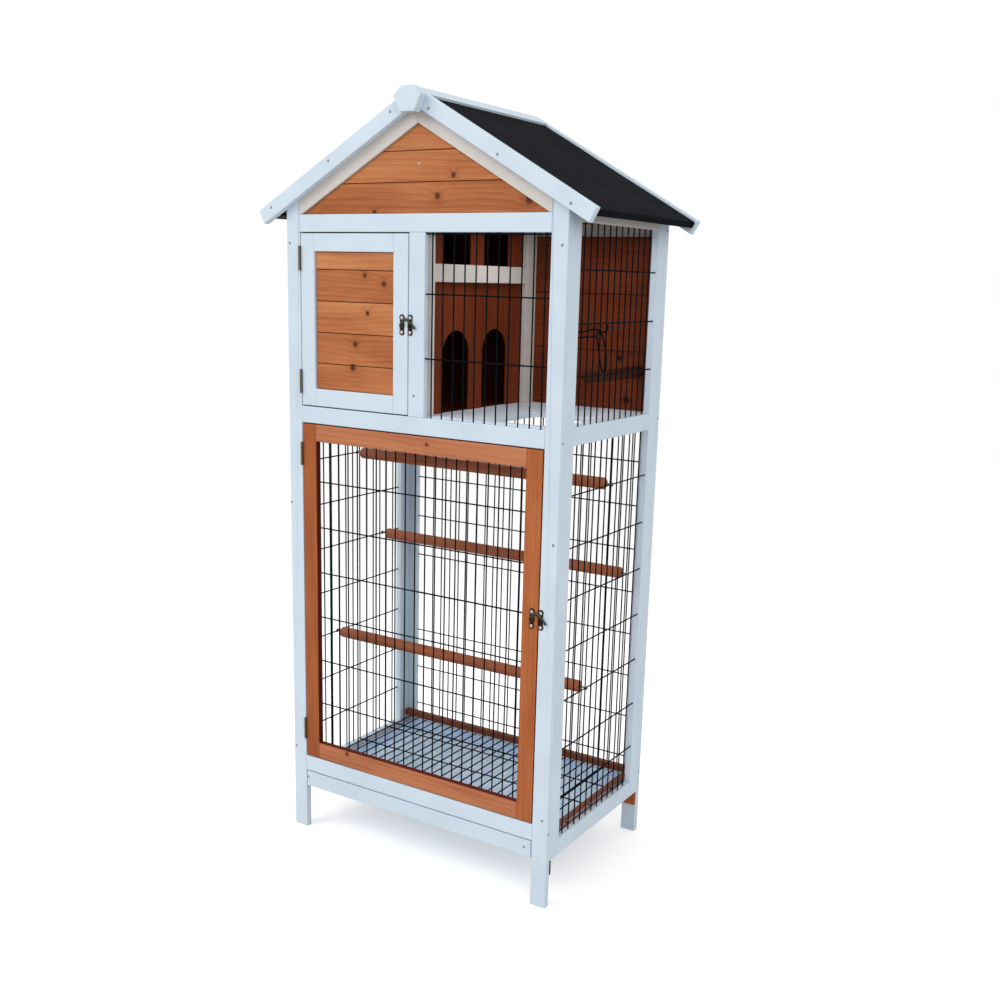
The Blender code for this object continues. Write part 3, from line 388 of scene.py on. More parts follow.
class Nodes:
    """The node tree of one material, or of the world."""

    def __init__(self, owner: bpy.types.ID, shader: str = "Principled BSDF") -> None:
        """Opens the owner's tree at its main shader.

        Args:
            owner: a material or a world.
            shader: the name of its main shader.
        """
        owner.use_nodes = True
        self.owner = owner
        self.tree = owner.node_tree
        self.shader = self.tree.nodes[shader]

    def add(self, kind: str, out: int | str = 0, **given: Any) -> bpy.types.NodeSocket:
        """Adds a node with its settings and links.

        Args:
            kind: the node's type, without the ShaderNode that it starts with.
            out: the output that is wanted, by place or by name.
            **given: the settings and links, as dress takes them.

        Returns:
            That output.
        """
        node = self.tree.nodes.new(f"ShaderNode{kind}")
        self.dress(node, **given)
        return node.outputs[out]

    def dress(self, node: bpy.types.Node, **given: Any) -> None:
        """Gives a node its settings and links.

        Args:
            node: the node.
            **given: a property of the node in small letters, the stops of a colour ramp, or what an input
                gets: a value, a hex colour or an output. An input is found by its name, which starts with a
                capital and has underscores for spaces, or as in0, in1 and so on by its place.
        """
        for key, value in given.items():
            if key == "stops":
                elements = node.color_ramp.elements
                while len(elements) < len(value):
                    elements.new(0.5)
                for element, (place, colour) in zip(elements, value):
                    element.position = place
                    element.color = linear(colour) if isinstance(colour, str) else (*[colour] * 3, 1.0)
                continue
            if hasattr(node, key):
                setattr(node, key, value)
                continue
            by_place = key.startswith("in") and key[2:].isdigit()
            socket = node.inputs[int(key[2:]) if by_place else key.replace("_", " ")]
            if isinstance(value, bpy.types.NodeSocket):
                self.tree.links.new(value, socket)
            else:
                socket.default_value = linear(value) if isinstance(value, str) else value

    def finish(self, bump: Any = None, strength: float = 0.0, height: float = 0.0, **inputs: Any) -> Any:
        """Feeds the main shader.

        Args:
            bump: the output that raises the surface, or None.
            strength: how much of the bump shows.
            height: the bump's height in metres.
            **inputs: the shader's own inputs, as dress takes them.

        Returns:
            The material.
        """
        if bump is not None:
            inputs["Normal"] = self.add("Bump", Strength=strength, Distance=height, Height=bump)
        self.dress(self.shader, **inputs)
        return self.owner


@dataclass(frozen=True)
class Finish:
    """A named finish; its material is made once."""

    name: str

    def material(self) -> bpy.types.Material:
        """The material of this finish, made at its first use."""
        made = bpy.data.materials.get(self.name)
        return made or self.build(Nodes(bpy.data.materials.new(self.name)))

    def build(self, nodes: Nodes) -> bpy.types.Material:
        """Builds the material; each finish has its own."""
        raise NotImplementedError


@dataclass(frozen=True)
class PaintedFir(Finish):
    """White water-based paint, brushed over fir: even colour, with the grain just standing through it."""

    colour: str = "#D4E3EF"
    shade: str = "#C8D8E5"
    stroke_mm: float = 1.6

    def build(self, nodes: Nodes) -> bpy.types.Material:
        """Cloudy paint thickness, and brush marks twenty times as long as they are wide.

        Args:
            nodes: the material's nodes.

        Returns:
            The material.
        """
        grain = nodes.add("Attribute", "Vector", attribute_name="grain")
        marks = 1 / (self.stroke_mm * MM)
        drawn = nodes.add("VectorMath", operation="MULTIPLY", in0=grain, in1=(marks / 20, marks, marks))
        strokes = nodes.add("TexNoise", Vector=drawn, Scale=1.0, Detail=3.0)
        cloud = nodes.add("TexNoise", Vector=grain, Scale=9.0, Detail=4.0)
        mixed = nodes.add("Math", operation="MULTIPLY_ADD", in0=strokes, in1=0.35, in2=cloud)
        colour = nodes.add("ValToRGB", in0=mixed, stops=((0.35, self.shade), (0.80, self.colour)))
        rough = nodes.add("MapRange", Value=cloud, From_Min=0.3, From_Max=0.7, To_Min=0.42, To_Max=0.58)
        return nodes.finish(strokes, 0.35, 0.15 * MM, Base_Color=colour, Roughness=rough, IOR=1.5)


@dataclass(frozen=True)
class StainedFir(Finish):
    """Fir under a thin orange or red-brown stain: soft growth lines, streaks along the board and dark knots.

    A pattern's waves are counted a metre along, across and into the board.
    """

    pale: str = "#D39463"
    middle: str = "#C07848"
    dark: str = "#8F4620"
    ring_mm: float = 9.0
    knots: tuple[Point, ...] = ()
    knot_mm: float = 7.0
    roughness: float = 0.6
    sheen: float = 0.2
    heart: str = "#4A1D0E"
    wander: Point = (2.0, 9.0, 9.0)
    pores: Point = (16.0, 700.0, 700.0)
    streaks: Point = (4.0, 130.0, 130.0)
    clouds: Point = (4.0, 14.0, 14.0)

    def build(self, nodes: Nodes) -> bpy.types.Material:
        """Growth lines that bend round knots, streaks and pores along the grain, and each board its own tone.

        The growth lines are the fraction of rings counted across and, eight tenths as much, into the board.

        Args:
            nodes: the material's nodes.

        Returns:
            The material.
        """
        grain = nodes.add("Attribute", "Vector", attribute_name="grain")
        tone = nodes.add("Attribute", "Fac", attribute_name="tone")
        noises = []
        for waves, detail in ((self.wander, 2.0), (self.pores, 2.0), (self.streaks, 3.0), (self.clouds, 3.0)):
            at = nodes.add("VectorMath", operation="MULTIPLY", in0=grain, in1=waves)
            noises.append(nodes.add("TexNoise", Vector=at, Scale=1.0, Detail=detail))
        wander, pores, streaks, clouds = noises
        bend, core = self.knot_masks(nodes)
        across = nodes.add("SeparateXYZ", "Y", in0=grain)
        slant = self.layered(nodes, across, (across.node.outputs["Z"], 0.8))
        turns = nodes.add("Math", operation="MULTIPLY", in0=slant, in1=1000 / self.ring_mm)
        bent = self.layered(nodes, turns, (wander, 5.0), (bend, 0.9))
        lines = nodes.add("Math", operation="FRACT", in0=bent)
        late = nodes.add("ValToRGB", in0=lines, stops=((0.0, 0.1), (0.7, 0.55), (0.9, 1.0), (1.0, 0.1)))
        shares = ((late, 0.14), (pores, 0.18), (streaks, 0.30), (clouds, 0.55), (tone, 0.34), (bend, 0.08))
        mix = self.layered(nodes, -0.06, *shares)
        stains = ((0.36, self.pale), (0.62, self.middle), (0.98, self.dark))
        colour = nodes.add("ValToRGB", in0=mix, stops=stains)
        knotted = nodes.add("Mix", 2, data_type="RGBA", in0=core, in6=colour, in7=self.heart)
        return nodes.finish(
            pores, 0.5, 0.12 * MM, Base_Color=knotted, Roughness=self.roughness, Specular_IOR_Level=self.sheen
        )

    def knot_masks(self, nodes: Nodes) -> list[Any]:
        """Where the grain bends round the knots, and the knots' dark hearts.

        The bend fades from a knot's middle to 4.5 times its size. Its heart is darkest inside about half its
        size and has gone a little beyond its edge.

        Args:
            nodes: the material's nodes.

        Returns:
            Two outputs, or zeros where there are no knots.
        """
        place = nodes.add("TexCoord", "Object")
        masks: list[Any] = [0.0, 0.0]
        fades = (("SMOOTHERSTEP", 0.0, 4.5, 1.0), ("SMOOTHSTEP", 0.55, 1.4, 0.92))
        for index, knot in enumerate(self.knots):
            size = self.knot_mm * MM * (0.75 + 0.35 * ((index * 7) % 3) / 2)
            offset = nodes.add("VectorMath", operation="SUBTRACT", in0=place, in1=knot)
            away = nodes.add("VectorMath", "Value", operation="LENGTH", in0=offset)
            for which, (kind, inner, outer, most) in enumerate(fades):
                reach = {"From_Min": inner * size, "From_Max": outer * size, "To_Min": most, "To_Max": 0.0}
                mask = nodes.add("MapRange", interpolation_type=kind, Value=away, **reach)
                masks[which] = nodes.add("Math", operation="MAXIMUM", in0=masks[which], in1=mask)
        return masks

    @staticmethod
    def layered(nodes: Nodes, start: Any, *layers: tuple[Any, float]) -> Any:
        """A start with several layers added, each times its share.

        Args:
            nodes: the material's nodes.
            start: a number or an output.
            *layers: (output, share) pairs.

        Returns:
            The output of the sum.
        """
        for layer, share in layers:
            start = nodes.add("Math", operation="MULTIPLY_ADD", in0=layer, in1=share, in2=start)
        return start


@dataclass(frozen=True)
class RoofFelt(Finish):
    """Bitumen felt with fine mineral grit: near black and matt, a little blue, with tiny pale grains."""

    grit_mm: float = 0.9

    def build(self, nodes: Nodes) -> bpy.types.Material:
        """Grit as small cells, a little coarser than the real 0.5 mm so that it shows, over soft waves.

        Args:
            nodes: the material's nodes.

        Returns:
            The material.
        """
        place = nodes.add("TexCoord", "Object")
        cells = nodes.add("TexVoronoi", "Color", Vector=place, Scale=1 / (self.grit_mm * MM))
        cloud = nodes.add("TexNoise", Vector=place, Scale=14.0, Detail=5.0)
        mixed = nodes.add("Math", operation="MULTIPLY_ADD", in0=cells, in1=0.35, in2=cloud)
        greys = ((0.40, "#0E1016"), (0.75, "#13151B"), (1.0, "#1E2027"))
        colour = nodes.add("ValToRGB", in0=mixed, stops=greys)
        grit = cells.node.outputs["Distance"]
        return nodes.finish(grit, 0.5, 0.5 * MM, Base_Color=colour, Roughness=0.95, Specular_IOR_Level=0.05)


@dataclass(frozen=True)
class GalvanisedSheet(Finish):
    """Hot-dipped zinc on thin steel: pale grey, with soft spangles some 12 mm across."""

    spangle_mm: float = 12.0

    def build(self, nodes: Nodes) -> bpy.types.Material:
        """Spangles as flat cells that differ a little in tone and in gloss.

        Args:
            nodes: the material's nodes.

        Returns:
            The material.
        """
        place = nodes.add("TexCoord", "Object")
        cells = nodes.add("TexVoronoi", "Color", Vector=place, Scale=1 / (self.spangle_mm * MM))
        tone = nodes.add("SeparateColor", in0=cells)
        colour = nodes.add("ValToRGB", in0=tone, stops=((0.0, "#C6E0FB"), (1.0, "#E0F0FF")))
        rough = nodes.add("MapRange", Value=tone.node.outputs[1], To_Min=0.34, To_Max=0.52)
        return nodes.finish(Base_Color=colour, Metallic=0.04, Roughness=rough)


@dataclass(frozen=True)
class MottledMetal(Finish):
    """Metal under a coat, wash or plating that changes from one colour to another in soft clouds."""

    stops: Stops
    cloud_mm: float
    detail: float
    metallic: float
    roughness: float
    bump: float = 0.0
    sheen: float = 0.5

    def build(self, nodes: Nodes) -> bpy.types.Material:
        """Clouds that colour the surface and, where it is coated or cast, raise it by up to 0.1 mm.

        Args:
            nodes: the material's nodes.

        Returns:
            The material.
        """
        place = nodes.add("TexCoord", "Object")
        cloud = nodes.add("TexNoise", Vector=place, Scale=1000 / self.cloud_mm, Detail=self.detail)
        look = {"Metallic": self.metallic, "Roughness": self.roughness, "Specular_IOR_Level": self.sheen}
        colour = nodes.add("ValToRGB", in0=cloud, stops=self.stops)
        return nodes.finish(cloud if self.bump else None, self.bump, 0.1 * MM, Base_Color=colour, **look)


def bronzed(name: str, rubbed: str) -> MottledMetal:
    """Die-cast zinc with an antique bronze wash: near black in the hollows, brown where hands rub it."""
    return MottledMetal(
        name, ((0.35, "#0E0C0A"), (0.75, rubbed)), cloud_mm=1000 / 420, detail=4.0,
        metallic=0.75, roughness=0.38, bump=0.3,
    )


def plated(name: str, colour: str, dull: str, metallic: float) -> MottledMetal:
    """Plated steel, a little dulled: even and half bright, with faint stains."""
    return MottledMetal(
        name, ((0.0, colour), (1.0, dull)), cloud_mm=1000 / 300, detail=2.0,
        metallic=metallic, roughness=0.36,
    )


# White paint: cool on the outer boards; a beige copy with painted shade for boards under the roof and in the
# nest; a paler copy with painted light for the upper floor
WHITE = PaintedFir("brushed_white_paint")
# The white with painted shade, beige and darker, for boards under the eaves and in the nest
SHADE_PAINTED_WHITE = PaintedFir("brushed_white_paint_painted_shade", colour="#D6D0CA", shade="#CAC3BC")
# The floor's white, paler than the boards' white, is painted light
LIGHT_PAINTED_FLOOR_WHITE = PaintedFir("brushed_white_floor_paint_painted_light", colour="#E4EEFA", shade="#D6E2F0")
# Stained fir: orange planks with knots where the real ones show, redder and browner frames and battens
GABLE_KNOTS = ((0.0809, -0.2, 1.439), (0.0445, -0.2, 1.4017), (0.2489, -0.2, 1.3922), (-0.108, -0.2, 1.372))
DOOR_KNOTS = (
    (-0.1258, -0.2, 1.1755),
    (-0.1575, -0.2, 1.1119),
    (-0.1643, -0.2, 1.0641),
    (-0.1324, -0.2, 1.2502),
    (-0.084, -0.2, 1.2344),
)
WALL_KNOTS = ((0.2454, 0.2, 1.0901), (0.267, 0.2, 1.0011))
RAIL_KNOTS = ((0.0287, -0.205, 0.9233), (-0.1809, -0.205, 0.2089))
GABLE_FIR = StainedFir("orange_stained_fir_gable", knots=GABLE_KNOTS)
DOOR_FIR = StainedFir("orange_stained_fir_door", knots=DOOR_KNOTS, knot_mm=6.4)
# The upper room's walls: the stain darkened by painted shade, with knot hearts darkened to match
SHADE_PAINTED_WALL_FIR = StainedFir(
    "orange_stained_fir_wall_painted_shade", "#894122", "#753419", "#4F1E0C",
    knots=WALL_KNOTS, knot_mm=8.5, sheen=0.1, heart="#230B04",
)
FRAME_FIR = StainedFir("red_brown_stained_fir", "#C67A48", "#B06235", "#85401E")
RAIL_FIR = StainedFir(
    "pale_red_brown_stained_fir", "#D08E66", "#BF7852", "#8E4A2C", knots=RAIL_KNOTS, knot_mm=5.0
)
PERCH_FIR = StainedFir("red_brown_dowel", "#BA7553", "#A76243", "#80442C", ring_mm=5.0)
# Near-black painted shade for the nest's inside and the perch in the upper room
SHADE_PAINTED_FIR = StainedFir("fir_stain_with_painted_shade", "#5E2C19", "#4A2010", "#321308", sheen=0.04)
BATTEN_FIR = StainedFir("red_brown_batten", "#925640", "#7C432F", "#582C1C")
# Painted shade on the lower door's inner faces and in its gaps
EDGE_SHADE_FIR = StainedFir("edge_painted_shade", "#7A2E22", "#642219", "#45140F", sheen=0.05)
# Near-black painted shade: behind plank joints, on the nest shelf and in the upper door's gaps
SHADE_PAINTED_TONGUE_FIR = StainedFir("shaded_tongues_between_planks", "#3A1A0E", "#2C120A", "#1C0A05")
BLACK_FIR = StainedFir("black_stained_deck", "#2A2A2E", "#1F2024", "#141518", ring_mm=8.0)
FELT = RoofFelt("bitumen_roof_felt")
SHEET = GalvanisedSheet("galvanised_sheet")
# Welded steel wire with a dark blue-green powder coat: smooth and dark, with hardly any highlight
WIRE = MottledMetal(
    "powder_coated_wire", ((0.35, "#080D11"), (0.7, "#0E161C")), cloud_mm=1000 / 60, detail=3.0,
    metallic=0.0, roughness=0.7, bump=0.2, sheen=0.03,
)
BRONZE = bronzed("antique_bronze_wash", "#2E251D")
# The hook's paler bronze is a painted highlight along it
HIGHLIGHT_PAINTED_BRONZE = bronzed("antique_bronze_rubbed", "#6E665C")
BRIGHT = plated("bright_screw", "#D6DADE", "#B4B9BE", 0.4)
COPPER = plated("coppered_screw", "#EBCDBF", "#D7A894", 0.4)
DARK_STEEL = plated("blackened_screw_steel", "#6A6E73", "#33363A", 0.5)
HINGE = plated("dull_brass_hinge", "#7C6C58", "#45382B", 0.5)


# Sub-assemblies


def spread(low: float, high: float, pitch: float, slack: float = 0.02) -> Array:
    """Places at one pitch, centred between two ends, where a pitch that is short by the slack still fits."""
    count = max(2, int((high - low) / pitch + slack))
    return (low + high) / 2 + pitch * (np.arange(count) - (count - 1) / 2)


@dataclass
class Roofline:
    """The roof's slope and the places along it, read from the solids.

    The felt's face lies felt_drop below the tops of the bargeboards; deck and lip are depths below that face.
    """

    felt_drop: float = 5 * MM
    deck: float = 10 * MM
    lip: float = 13 * MM
    lip_width: float = 15 * MM
    half_joint: float = 0.15 * MM
    angle: float = field(init=False)
    ridge: float = field(init=False)
    length: float = field(init=False)

    def __post_init__(self) -> None:
        """Reads the slope off the planked triangle, the ridge off its cap and the length off a bargeboard."""
        low, high = corners("gable_planks_front")
        self.angle = math.atan2(high[2] - low[2], high[0])
        self.ridge = corners("ridge_cap")[1][2]
        self.length = corners("bargeboard_front_right")[1][0] / math.cos(self.angle)

    def under(self, across: float) -> float:
        """Height of the roof panels' underside at one place across the body."""
        low, high = corners("post_front_right")
        return high[2] - (abs(across) - low[0]) * math.tan(self.angle)

    def points(self, side: int, *places: Pair) -> list[Pair]:
        """Points of the left (-1) or the right (1) slope, each some way down it and square above it."""
        cos, sin = math.cos(self.angle), math.sin(self.angle)
        return [
            (side * (down * cos + rise * sin), self.ridge - down * sin + rise * cos)
            for down, rise in places
        ]

    def start(self, rise: float) -> float:
        """How far down the slope its joint with the other slope is, at a height square above it."""
        return (self.half_joint - rise * math.sin(self.angle)) / math.cos(self.angle)


def slanted_post(line: Roofline, low: Sequence[float], high: Sequence[float], seed: int) -> Surface:
    """An upright board whose top follows the roof.

    Args:
        line: the roof's slope.
        low: its lowest corner.
        high: its highest corner, whose height isn't used.
        seed: picks its grain.

    Returns:
        A closed surface.
    """
    left, right, foot = low[0], high[0], low[2]
    outline = [(left, foot), (right, foot), (right, line.under(right)), (left, line.under(left))]
    return loft(eased_corners(outline, EASE), ease_profile(high[1] - low[1], EASE), Plane.XZ, low[1], Z, seed)


@dataclass
class FrontFrame:
    """Front posts that run down as legs, the rails between them and the post beside the upper door."""

    line: Roofline

    def build(self) -> None:
        """Makes the posts with their slanted tops, and the rails."""
        for seed, name in enumerate(("post_front_left", "post_front_right"), 10):
            make_piece(f"{name}_board", [slanted_post(self.line, *corners(name), seed)], WHITE, name)
        for seed, name in enumerate(("front_top_rail", "front_middle_rail", "front_bottom_rail"), 20):
            whole_board(name, "board", X, seed, WHITE)
        whole_board("front_centre_post", "board", Z, 24, WHITE)


@dataclass
class SideFrame:
    """A glued ladder frame: two stiles with three rails butted between them.

    The wire reaches lap deep into the rails' grooves, and the top rail hangs cover lower than that.
    """

    name: str
    stile: float = 35 * MM
    lap: float = 9.6 * MM
    cover: float = 8 * MM

    def build(self) -> None:
        """Makes the stiles and the rails, with a hairline seam at each joint."""
        low, high = corners(self.name)
        lower, upper = corners("side_mesh_lower_right"), corners("side_mesh_upper_right")
        rails = (
            (low[2], lower[0][2] + self.lap),
            (lower[1][2] - self.lap, upper[0][2] + self.lap),
            (upper[1][2] - self.lap - self.cover, high[2]),
        )
        front, back = low[1] + self.stile, high[1] - self.stile
        surfaces = [board(low, (high[0], front, high[2]), Z, 30), board((low[0], back, low[2]), high, Z, 31)]
        for seed, (foot, head) in enumerate(rails, 40):
            surfaces.append(board((low[0], front + SEAM, foot), (high[0], back - SEAM, head), Y, seed))
        make_piece(f"{self.name}_boards", surfaces[:-1], WHITE, self.name)
        # The top rail under the eave gets the white with painted shade
        make_piece(f"{self.name}_top_board", surfaces[-1:], SHADE_PAINTED_WHITE)


@dataclass
class BackFrame:
    """The glued back frame: two legs, three rails and two rakes."""

    line: Roofline
    member: float = 35 * MM
    lap: float = 9.6 * MM
    under_gable: float = 0.3 * MM

    def build(self) -> None:
        """Makes the frame's members, each its own board."""
        low, high = corners("back_frame")
        wires, top = corners("back_mesh"), corners("front_top_rail")
        inner = high[0] - self.member
        base = corners("gable_planks_back")[0][2] - self.under_gable
        surfaces = [
            slanted_post(self.line, low, (-inner, high[1], high[2]), 50),
            slanted_post(self.line, (inner, low[1], low[2]), high, 51),
        ]
        foot, middle = wires[0][2] + self.lap, wires[1][2] - self.lap
        rails = ((foot - self.member, foot), (middle, middle + self.member), (top[0][2], base - SEAM))
        for seed, (under, over) in enumerate(rails, 52):
            surfaces.append(board((-inner + SEAM, low[1], under), (inner - SEAM, high[1], over), X, seed))
        make_piece("back_frame_boards", surfaces[:-1], WHITE, "back_frame")
        upper = surfaces[-1:] + rakes(self.line, "gable_planks_back", (low[1], high[1]), inner - SEAM)
        # The top rail and the rakes under the roof get the white with painted shade
        make_piece("back_frame_upper_boards", upper, SHADE_PAINTED_WHITE)


def rakes(line: Roofline, gable: str, depth: Pair, end: float) -> list[Surface]:
    """The two slanting battens over a planked triangle, meeting on a plumb joint.

    Args:
        line: the roof's slope.
        gable: the triangle's solid.
        depth: the battens' front and back faces.
        end: how far out they reach.

    Returns:
        The left and the right batten.
    """
    below, above, beside, half_joint = 0.3 * MM, 0.35 * MM, 1.15 * MM, 0.12 * MM
    low, high = corners(gable)
    base, apex, half = low[2] - below, high[2] + above, high[0] + beside
    made = []
    for side in (-1, 1):
        joint = side * half_joint
        inner = [(side * end, base), (side * half, base), (joint, apex)]
        outline = [*inner, (joint, line.under(0.0)), (side * end, line.under(end))]
        made.append(panel(outline, *depth, Plane.XZ, X, 60 + side, 0.8 * MM))
    return made


@dataclass
class Gable:
    """A planked triangle, and on the front the battens that frame it."""

    line: Roofline
    node: str
    plank: float = 58 * MM
    seam: float = 0.7 * MM
    blunt: float = 1.5 * MM
    tongue: float = 0.8 * MM

    def build(self) -> None:
        """Cuts the triangle into level boards, with a tongue of painted shade behind their joints."""
        low, high = corners(self.node)
        slope = math.tan(self.line.angle)
        joints = [*np.arange(low[2], high[2] - 0.2 * self.plank, self.plank), high[2]]
        surfaces = []
        for index, (foot, head) in enumerate(zip(joints, joints[1:])):
            under, over = foot + (self.seam if index else 0.0), min(head - self.seam, high[2] - self.blunt)
            wide, narrow = (high[2] - under) / slope, (high[2] - over) / slope
            outline = [(-wide, under), (wide, under), (narrow, over), (-narrow, over)]
            surfaces.append(panel(outline, low[1], high[1], Plane.XZ, X, 70 + index, 1.1 * MM))
        make_piece(f"{self.node}_boards", surfaces, GABLE_FIR, self.node, tones=(0.75, 0.45, 0.4))
        middle, wide, foot = (low[1] + high[1]) / 2, high[0] - 3 * MM, low[2] + 1 * MM
        outline = [(-wide, foot), (wide, foot), (0.0, foot + wide * slope)]
        tongue = panel(outline, middle - self.tongue, middle + self.tongue, Plane.XZ, X, 76, 0.2 * MM)
        make_piece(f"{self.node}_tongues", [tongue], SHADE_PAINTED_TONGUE_FIR)

    def frame(self) -> None:
        """The battens round the front triangle."""
        low, high = corners("gable_rakes_front")
        surfaces = rakes(self.line, self.node, (low[1], high[1]), high[0])
        # The rakes under the bargeboards get the white with painted shade
        make_piece("gable_rake_boards", surfaces, SHADE_PAINTED_WHITE, "gable_rakes_front")


@dataclass
class PlankWall:
    """A wall of level boards whose eased edges meet in V joints, with a tongue of painted shade behind them.
    """

    node: str
    finish: Finish
    joints: Sequence[float]
    along: Axis
    body: Body = Body.CAGE
    tones: Sequence[float] | None = None
    side_gap: float = 0.0
    seam: float = 0.7 * MM
    tongue: float = 0.8 * MM

    def build(self) -> None:
        """Makes one board between each two joints, and the tongue."""
        low, high = corners(self.node)
        heights = [low[2], *self.joints, high[2]]
        surfaces = []
        for seed, (foot, head) in enumerate(zip(heights, heights[1:]), 80 + int(abs(low[1]) * 100)):
            near = (low[0] + self.side_gap, low[1], foot + self.seam)
            far = (high[0] - self.side_gap, high[1], head - self.seam)
            surfaces.append(board(near, far, self.along, seed, 1.1 * MM))
        make_piece(f"{self.node}_boards", surfaces, self.finish, self.node, self.body, tones=self.tones)
        thin = int(np.argmin(high - low))
        middle = (low[thin] + high[thin]) / 2
        low[thin], high[thin] = middle - self.tongue, middle + self.tongue
        tongue = board(low, high, self.along, 89, 0.2 * MM)
        make_piece(f"{self.node}_tongues", [tongue], SHADE_PAINTED_TONGUE_FIR, body=self.body)


@dataclass
class NestBox:
    """The arched wall in two tiers, the white rail and posts on it, and the shelf between the tiers."""

    arch_width: float = 97 * MM
    arch_spacing: float = 146 * MM
    arch_middle: float = 175 * MM
    lower_height: float = 166 * MM
    upper_height: float = 113.6 * MM
    sheet: float = 4 * MM
    rail: float = 35 * MM
    post: float = 40 * MM
    strip: float = 4 * MM
    rail_from_floor: float = 262 * MM
    shade_skin: float = 1.2 * MM

    def arches(self, front: float, foot: float, height: float) -> list[Pair]:
        """Outline points of the two arched openings that stand on one level, from front to back.

        An arch is its foot, half a circle of nineteen points and its other foot.

        Args:
            front: where the wall starts.
            foot: the level.
            height: an opening's height.

        Returns:
            The points in order.
        """
        radius = self.arch_width / 2
        turn = np.linspace(math.pi, 0, 19)
        points: list[Pair] = []
        for offset in (-0.5, 0.5):
            centre = front + self.arch_middle + offset * self.arch_spacing
            curve = zip(centre + radius * np.cos(turn), foot + height - radius + radius * np.sin(turn))
            points += [(centre - radius, foot), *curve, (centre + radius, foot)]
        return points

    def build(self) -> None:
        """Makes the wall, its sheets of painted shade, its white frame and the shelf."""
        low, high = corners("nest_wall")
        front, back = low[1], high[1]
        sill = corners("nest_shelf")[1][2] + SEAM
        halves = ((low[2], sill - SEAM / 2, self.lower_height), (sill, high[2], self.upper_height))
        surfaces = []
        for seed, (foot, head, height) in enumerate(halves, 90):
            arches = self.arches(front, foot, height)
            outline = [(front, foot), *arches, (back, foot), (back, head), (front, head)]
            surfaces.append(panel(outline, high[0] - self.sheet, high[0], Plane.YZ, Z, seed, 0.4 * MM))
        # The arched wall's darker stain is painted shade
        make_piece("nest_wall_sheet", surfaces, SHADE_PAINTED_WALL_FIR, "nest_wall", tones=(0.5, 0.6))
        self.paint_inside_shade(low, high)
        near, far = corners("nest_frame")
        foot, behind, inner = low[2] + self.rail_from_floor, far[1] - self.post, near[1] + self.strip
        surfaces = [
            board(near, (far[0], inner, far[2]), Z, 94, 0.8 * MM),
            board((near[0], behind, near[2]), far, Z, 95),
            board((near[0], inner, foot), (far[0], behind - SEAM, foot + self.rail), Y, 96),
        ]
        # The nest's white frame gets the white with painted shade
        make_piece("nest_frame_boards", surfaces, SHADE_PAINTED_WHITE, "nest_frame")
        # The nest shelf is near black with painted shade
        whole_board("nest_shelf", "board", X, 97, SHADE_PAINTED_TONGUE_FIR)

    def paint_inside_shade(self, low: Array, high: Array) -> None:
        """Makes thin sheets of painted shade on the nest's floor, back and outer wall, which hardly any light
        reaches.

        Args:
            low: the arched wall's lowest corner.
            high: its highest corner.
        """
        left, right = corners("nest_shelf")[0][0], high[0] - self.sheet - 0.5 * MM
        (front, foot), (back, head), thin = low[1:], high[1:], self.shade_skin
        sheets = (
            ((left, front, foot), (right, back - 2 * thin, foot + thin), X, 98),
            ((left, back - thin, foot), (right, back, head), X, 99),
            ((left, front, foot + thin + 0.3 * MM), (left + thin, back - 2 * thin, head), Y, 97),
        )
        make_piece("nest_lining", [board(*sheet, 0.2 * MM) for sheet in sheets], SHADE_PAINTED_FIR)


@dataclass
class UpperFloor:
    """The painted floor sheet with its four-sided passage."""

    passage_from_side: float = 21.7 * MM
    passage_from_front: float = 23.7 * MM
    passage_width: float = 150 * MM
    passage_depth: float = 180 * MM
    ease: float = 0.8 * MM

    def build(self) -> None:
        """Makes the sheet as a closed ring round the passage.

        Each of the four corners carries the same eight-point section: round the outer edge, over the top
        to the passage, and back underneath.
        """
        low, high = corners("upper_floor")
        right, front = high[0] - self.passage_from_side, low[1] + self.passage_from_front
        hole_low, hole_high = (right - self.passage_width, front), (right, front + self.passage_depth)
        outer, inner = np.where(SQUARE, high[:2], low[:2]), np.where(SQUARE, hole_high, hole_low)
        out, rise = np.sign(SQUARE - 0.5) * self.ease, high[2] - low[2]
        section = [(outer - out, 0.0), (outer, self.ease), (outer, rise - self.ease), (outer - out, rise)]
        section += [(inner + out, rise), (inner, rise - self.ease), (inner, self.ease), (inner + out, 0.0)]
        rings = np.stack([np.column_stack([flat, np.full(4, low[2] + up)]) for flat, up in section], axis=1)
        index = np.arange(32).reshape(4, 8)
        after, beside = np.roll(index, -1, axis=0), np.roll(index, -1, axis=1)
        quads = np.stack([index, after, np.roll(after, -1, axis=1), beside], axis=-1).reshape(-1, 4)
        points = rings.reshape(-1, 3)
        surface = Surface(points, [tuple(quad) for quad in quads.tolist()], grain_of(points, X, 99))
        # The sheet's paler white is painted light
        make_piece("upper_floor_sheet", [surface], LIGHT_PAINTED_FLOOR_WHITE, "upper_floor")


